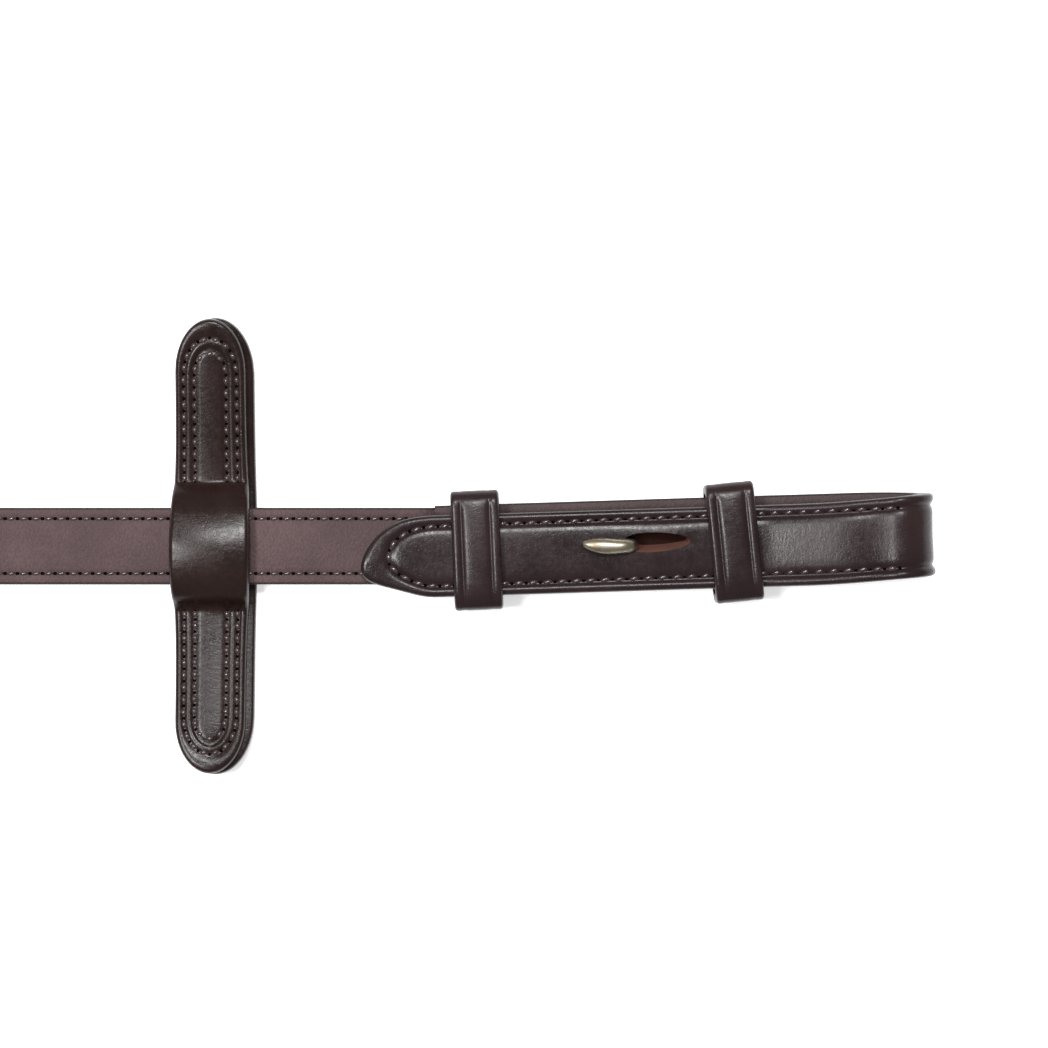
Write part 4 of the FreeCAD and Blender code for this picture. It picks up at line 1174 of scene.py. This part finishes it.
def buckle_tongue():
    """A tapered tongue bent round the bar."""
    loop = [math.radians(a) for a in range(-150, 91, 12)]
    radius = BUCKLE_WIRE / 2 + TONGUE_CLEAR + TONGUE_HALF
    path = [(radius * math.cos(a), radius * math.sin(a)) for a in loop]
    path += [(-t, radius * (1 - ease(t / 7.0))) for t in np.linspace(1.0, TONGUE_REACH, 30)]

    def size(index, x):
        reach = min(max((-x - 3.0) / (TONGUE_REACH - 3.0), 0.0), 1.0)
        grown = ease(index / (len(loop) + 6))
        end = rounding((reach - 0.93) / 0.07, 2, 0.04)
        return (0.58 + 0.55 * grown) * end, (TONGUE_WIDTH / 2 - 0.62 * grown) * end, 0.0

    points, faces = rod(np.array(path), size, 16)
    points = turned(points, math.radians(TONGUE_TILT), BAR)
    return piece("tongue_wire", points, faces, [BRASS], "tongue")


def flat_strip(corners, radii, hand):
    """A strip on edge at the buckle's height. hand is 1 if its face starts out towards +Y, or -1."""
    line = rounded_line([(x, y, BUCKLE_Z) for x, y in corners], radii)
    strip = upright_strip(line, np.asarray, (0, 0, -1))
    return strip if strip.face[0][1] * hand > 0 else backwards(strip)


def slot_tool(name, x, long, wide, deep):
    """A rounded slot's cutter, through an upright strap."""
    reach = max(0.0, long / 2 - wide / 2)
    points = []
    for y in (-deep, deep):
        for c, s in circle(HOLE_POINTS, 0.5):
            points.append((x + math.copysign(reach, c) + wide / 2 * c, y, BUCKLE_Z + wide / 2 * s))
    return closed_mesh(name, points, ring_faces(2, HOLE_POINTS), [CUT_EDGE])


def chape():
    """The folded strap that holds the frame's bar, slotted in the fold for the tongue, and its stitching."""
    inner = BUCKLE_WIRE / 2 + BAR_GAP
    bar = BAR[0]
    corners = [(CHAPE_REACH, inner), (bar - inner, inner), (bar - inner, -inner), (CHAPE_REACH, -inner)]
    strip = flat_strip(corners, [inner - 0.01] * 2, 1)
    tip = Tip(3.0)
    obj = layer("chape_fold", strip, (0.5, 2.5), LEATHER, 0.0, SEWN_FACE, BRIDLE, tips=(tip, tip))
    carve(obj, slot_tool("tongue_slot", bar - 1.3, long=15.0, wide=TONGUE_SLOT, deep=12.0))
    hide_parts("buckle_chape")
    front = tip.row(STRAP_HALF - STITCH_INSET, STITCH_INSET, CHAPE_REACH - bar - 6.0)
    back = np.stack([strip.length - front[:, 0], front[:, 1]], axis=-1)
    thread = sewing("chape_thread", [stitch_rows(strip, [front, back], REIN_PITCH, LEATHER - 0.2)])
    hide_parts("chape_stitching")
    return [obj, thread]


def point_strap():
    """The left rein's end: out of its sewn stretch, through the frame, and held by the keeper."""
    bar = BAR[0]
    corners = [(-WINDOW - 9, 0), (bar - 18, 0), (bar - 2, -POINT_SHIFT), (POINT_REACH, -POINT_SHIFT)]
    strip = flat_strip(corners, [POINT_BEND] * 2, -1)
    obj = layer(
        "point_strap", strip, (0.7, 2.5), POINT_THICK / 2, -POINT_THICK / 2, CREASED_FACE + ((8.0, 0.22),),
        BRIDLE, tips=(Tip(4.0, sharp=2.6), Tip(9.0, sharp=1.8))
    )
    for x in (bar - HOLE_PLACE - HOLE_PITCH, bar - HOLE_PLACE, bar - HOLE_PLACE + HOLE_PITCH):
        carve(obj, slot_tool("hole", x, HOLE_LENGTH, HOLE_WIDTH, deep=14.0))
    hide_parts("point_end")
    return obj


def centre_keeper():
    """The loop that holds the point down on the chape."""
    far = -(POINT_SHIFT + POINT_THICK / 2 + LAYER_GAP)
    near = BUCKLE_WIRE / 2 + BAR_GAP + LEATHER + LAYER_GAP
    y, z, wall = (near - far) / 2 + KEEPER_WALL / 2, STRAP_HALF + LAYER_GAP + KEEPER_WALL / 2, KEEPER_WALL
    corners = [(0, y, BAND_GAP), (0, y, z), (0, -y, z), (0, -y, -z), (0, y, -z), (0, y, -BAND_GAP)]
    line = rounded_line(corners, [1.6] * 4, step=BAND_STEP)
    middle = (CENTRE_KEEPER_PLACE, (near + far) / 2, BUCKLE_Z)
    strip = upright_strip(line, lambda points: points + middle)
    obj = layer("centre_loop", strip, (0.5, 2.0), wall / 2, -wall / 2, CREASED_FACE, BRIDLE, half=KEEPER_WIDTH / 2)
    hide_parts("buckle_keeper")
    return obj


frame_wire = buckle_frame()
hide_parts("buckle_frame")
tongue_wire = buckle_tongue()
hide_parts("buckle_tongue")
chape_pieces = chape()
point = point_strap()
centre_loop = centre_keeper()

right_strip, right_strap, right_grip, right_threads = rein("right", FIRST_X)
left_strip, left_strap, left_grip, left_threads = rein("left", WINDOW)
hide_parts("rein_strap_right", "rein_coil", "centre_strap")
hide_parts("rein_lining_right")
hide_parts("rein_stitching_right")
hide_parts("rein_strap_left")
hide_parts("rein_lining_left")
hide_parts("rein_stitching_left")
tell_cord(right_strip, right_strap)
tell_cord(left_strip, left_strap)
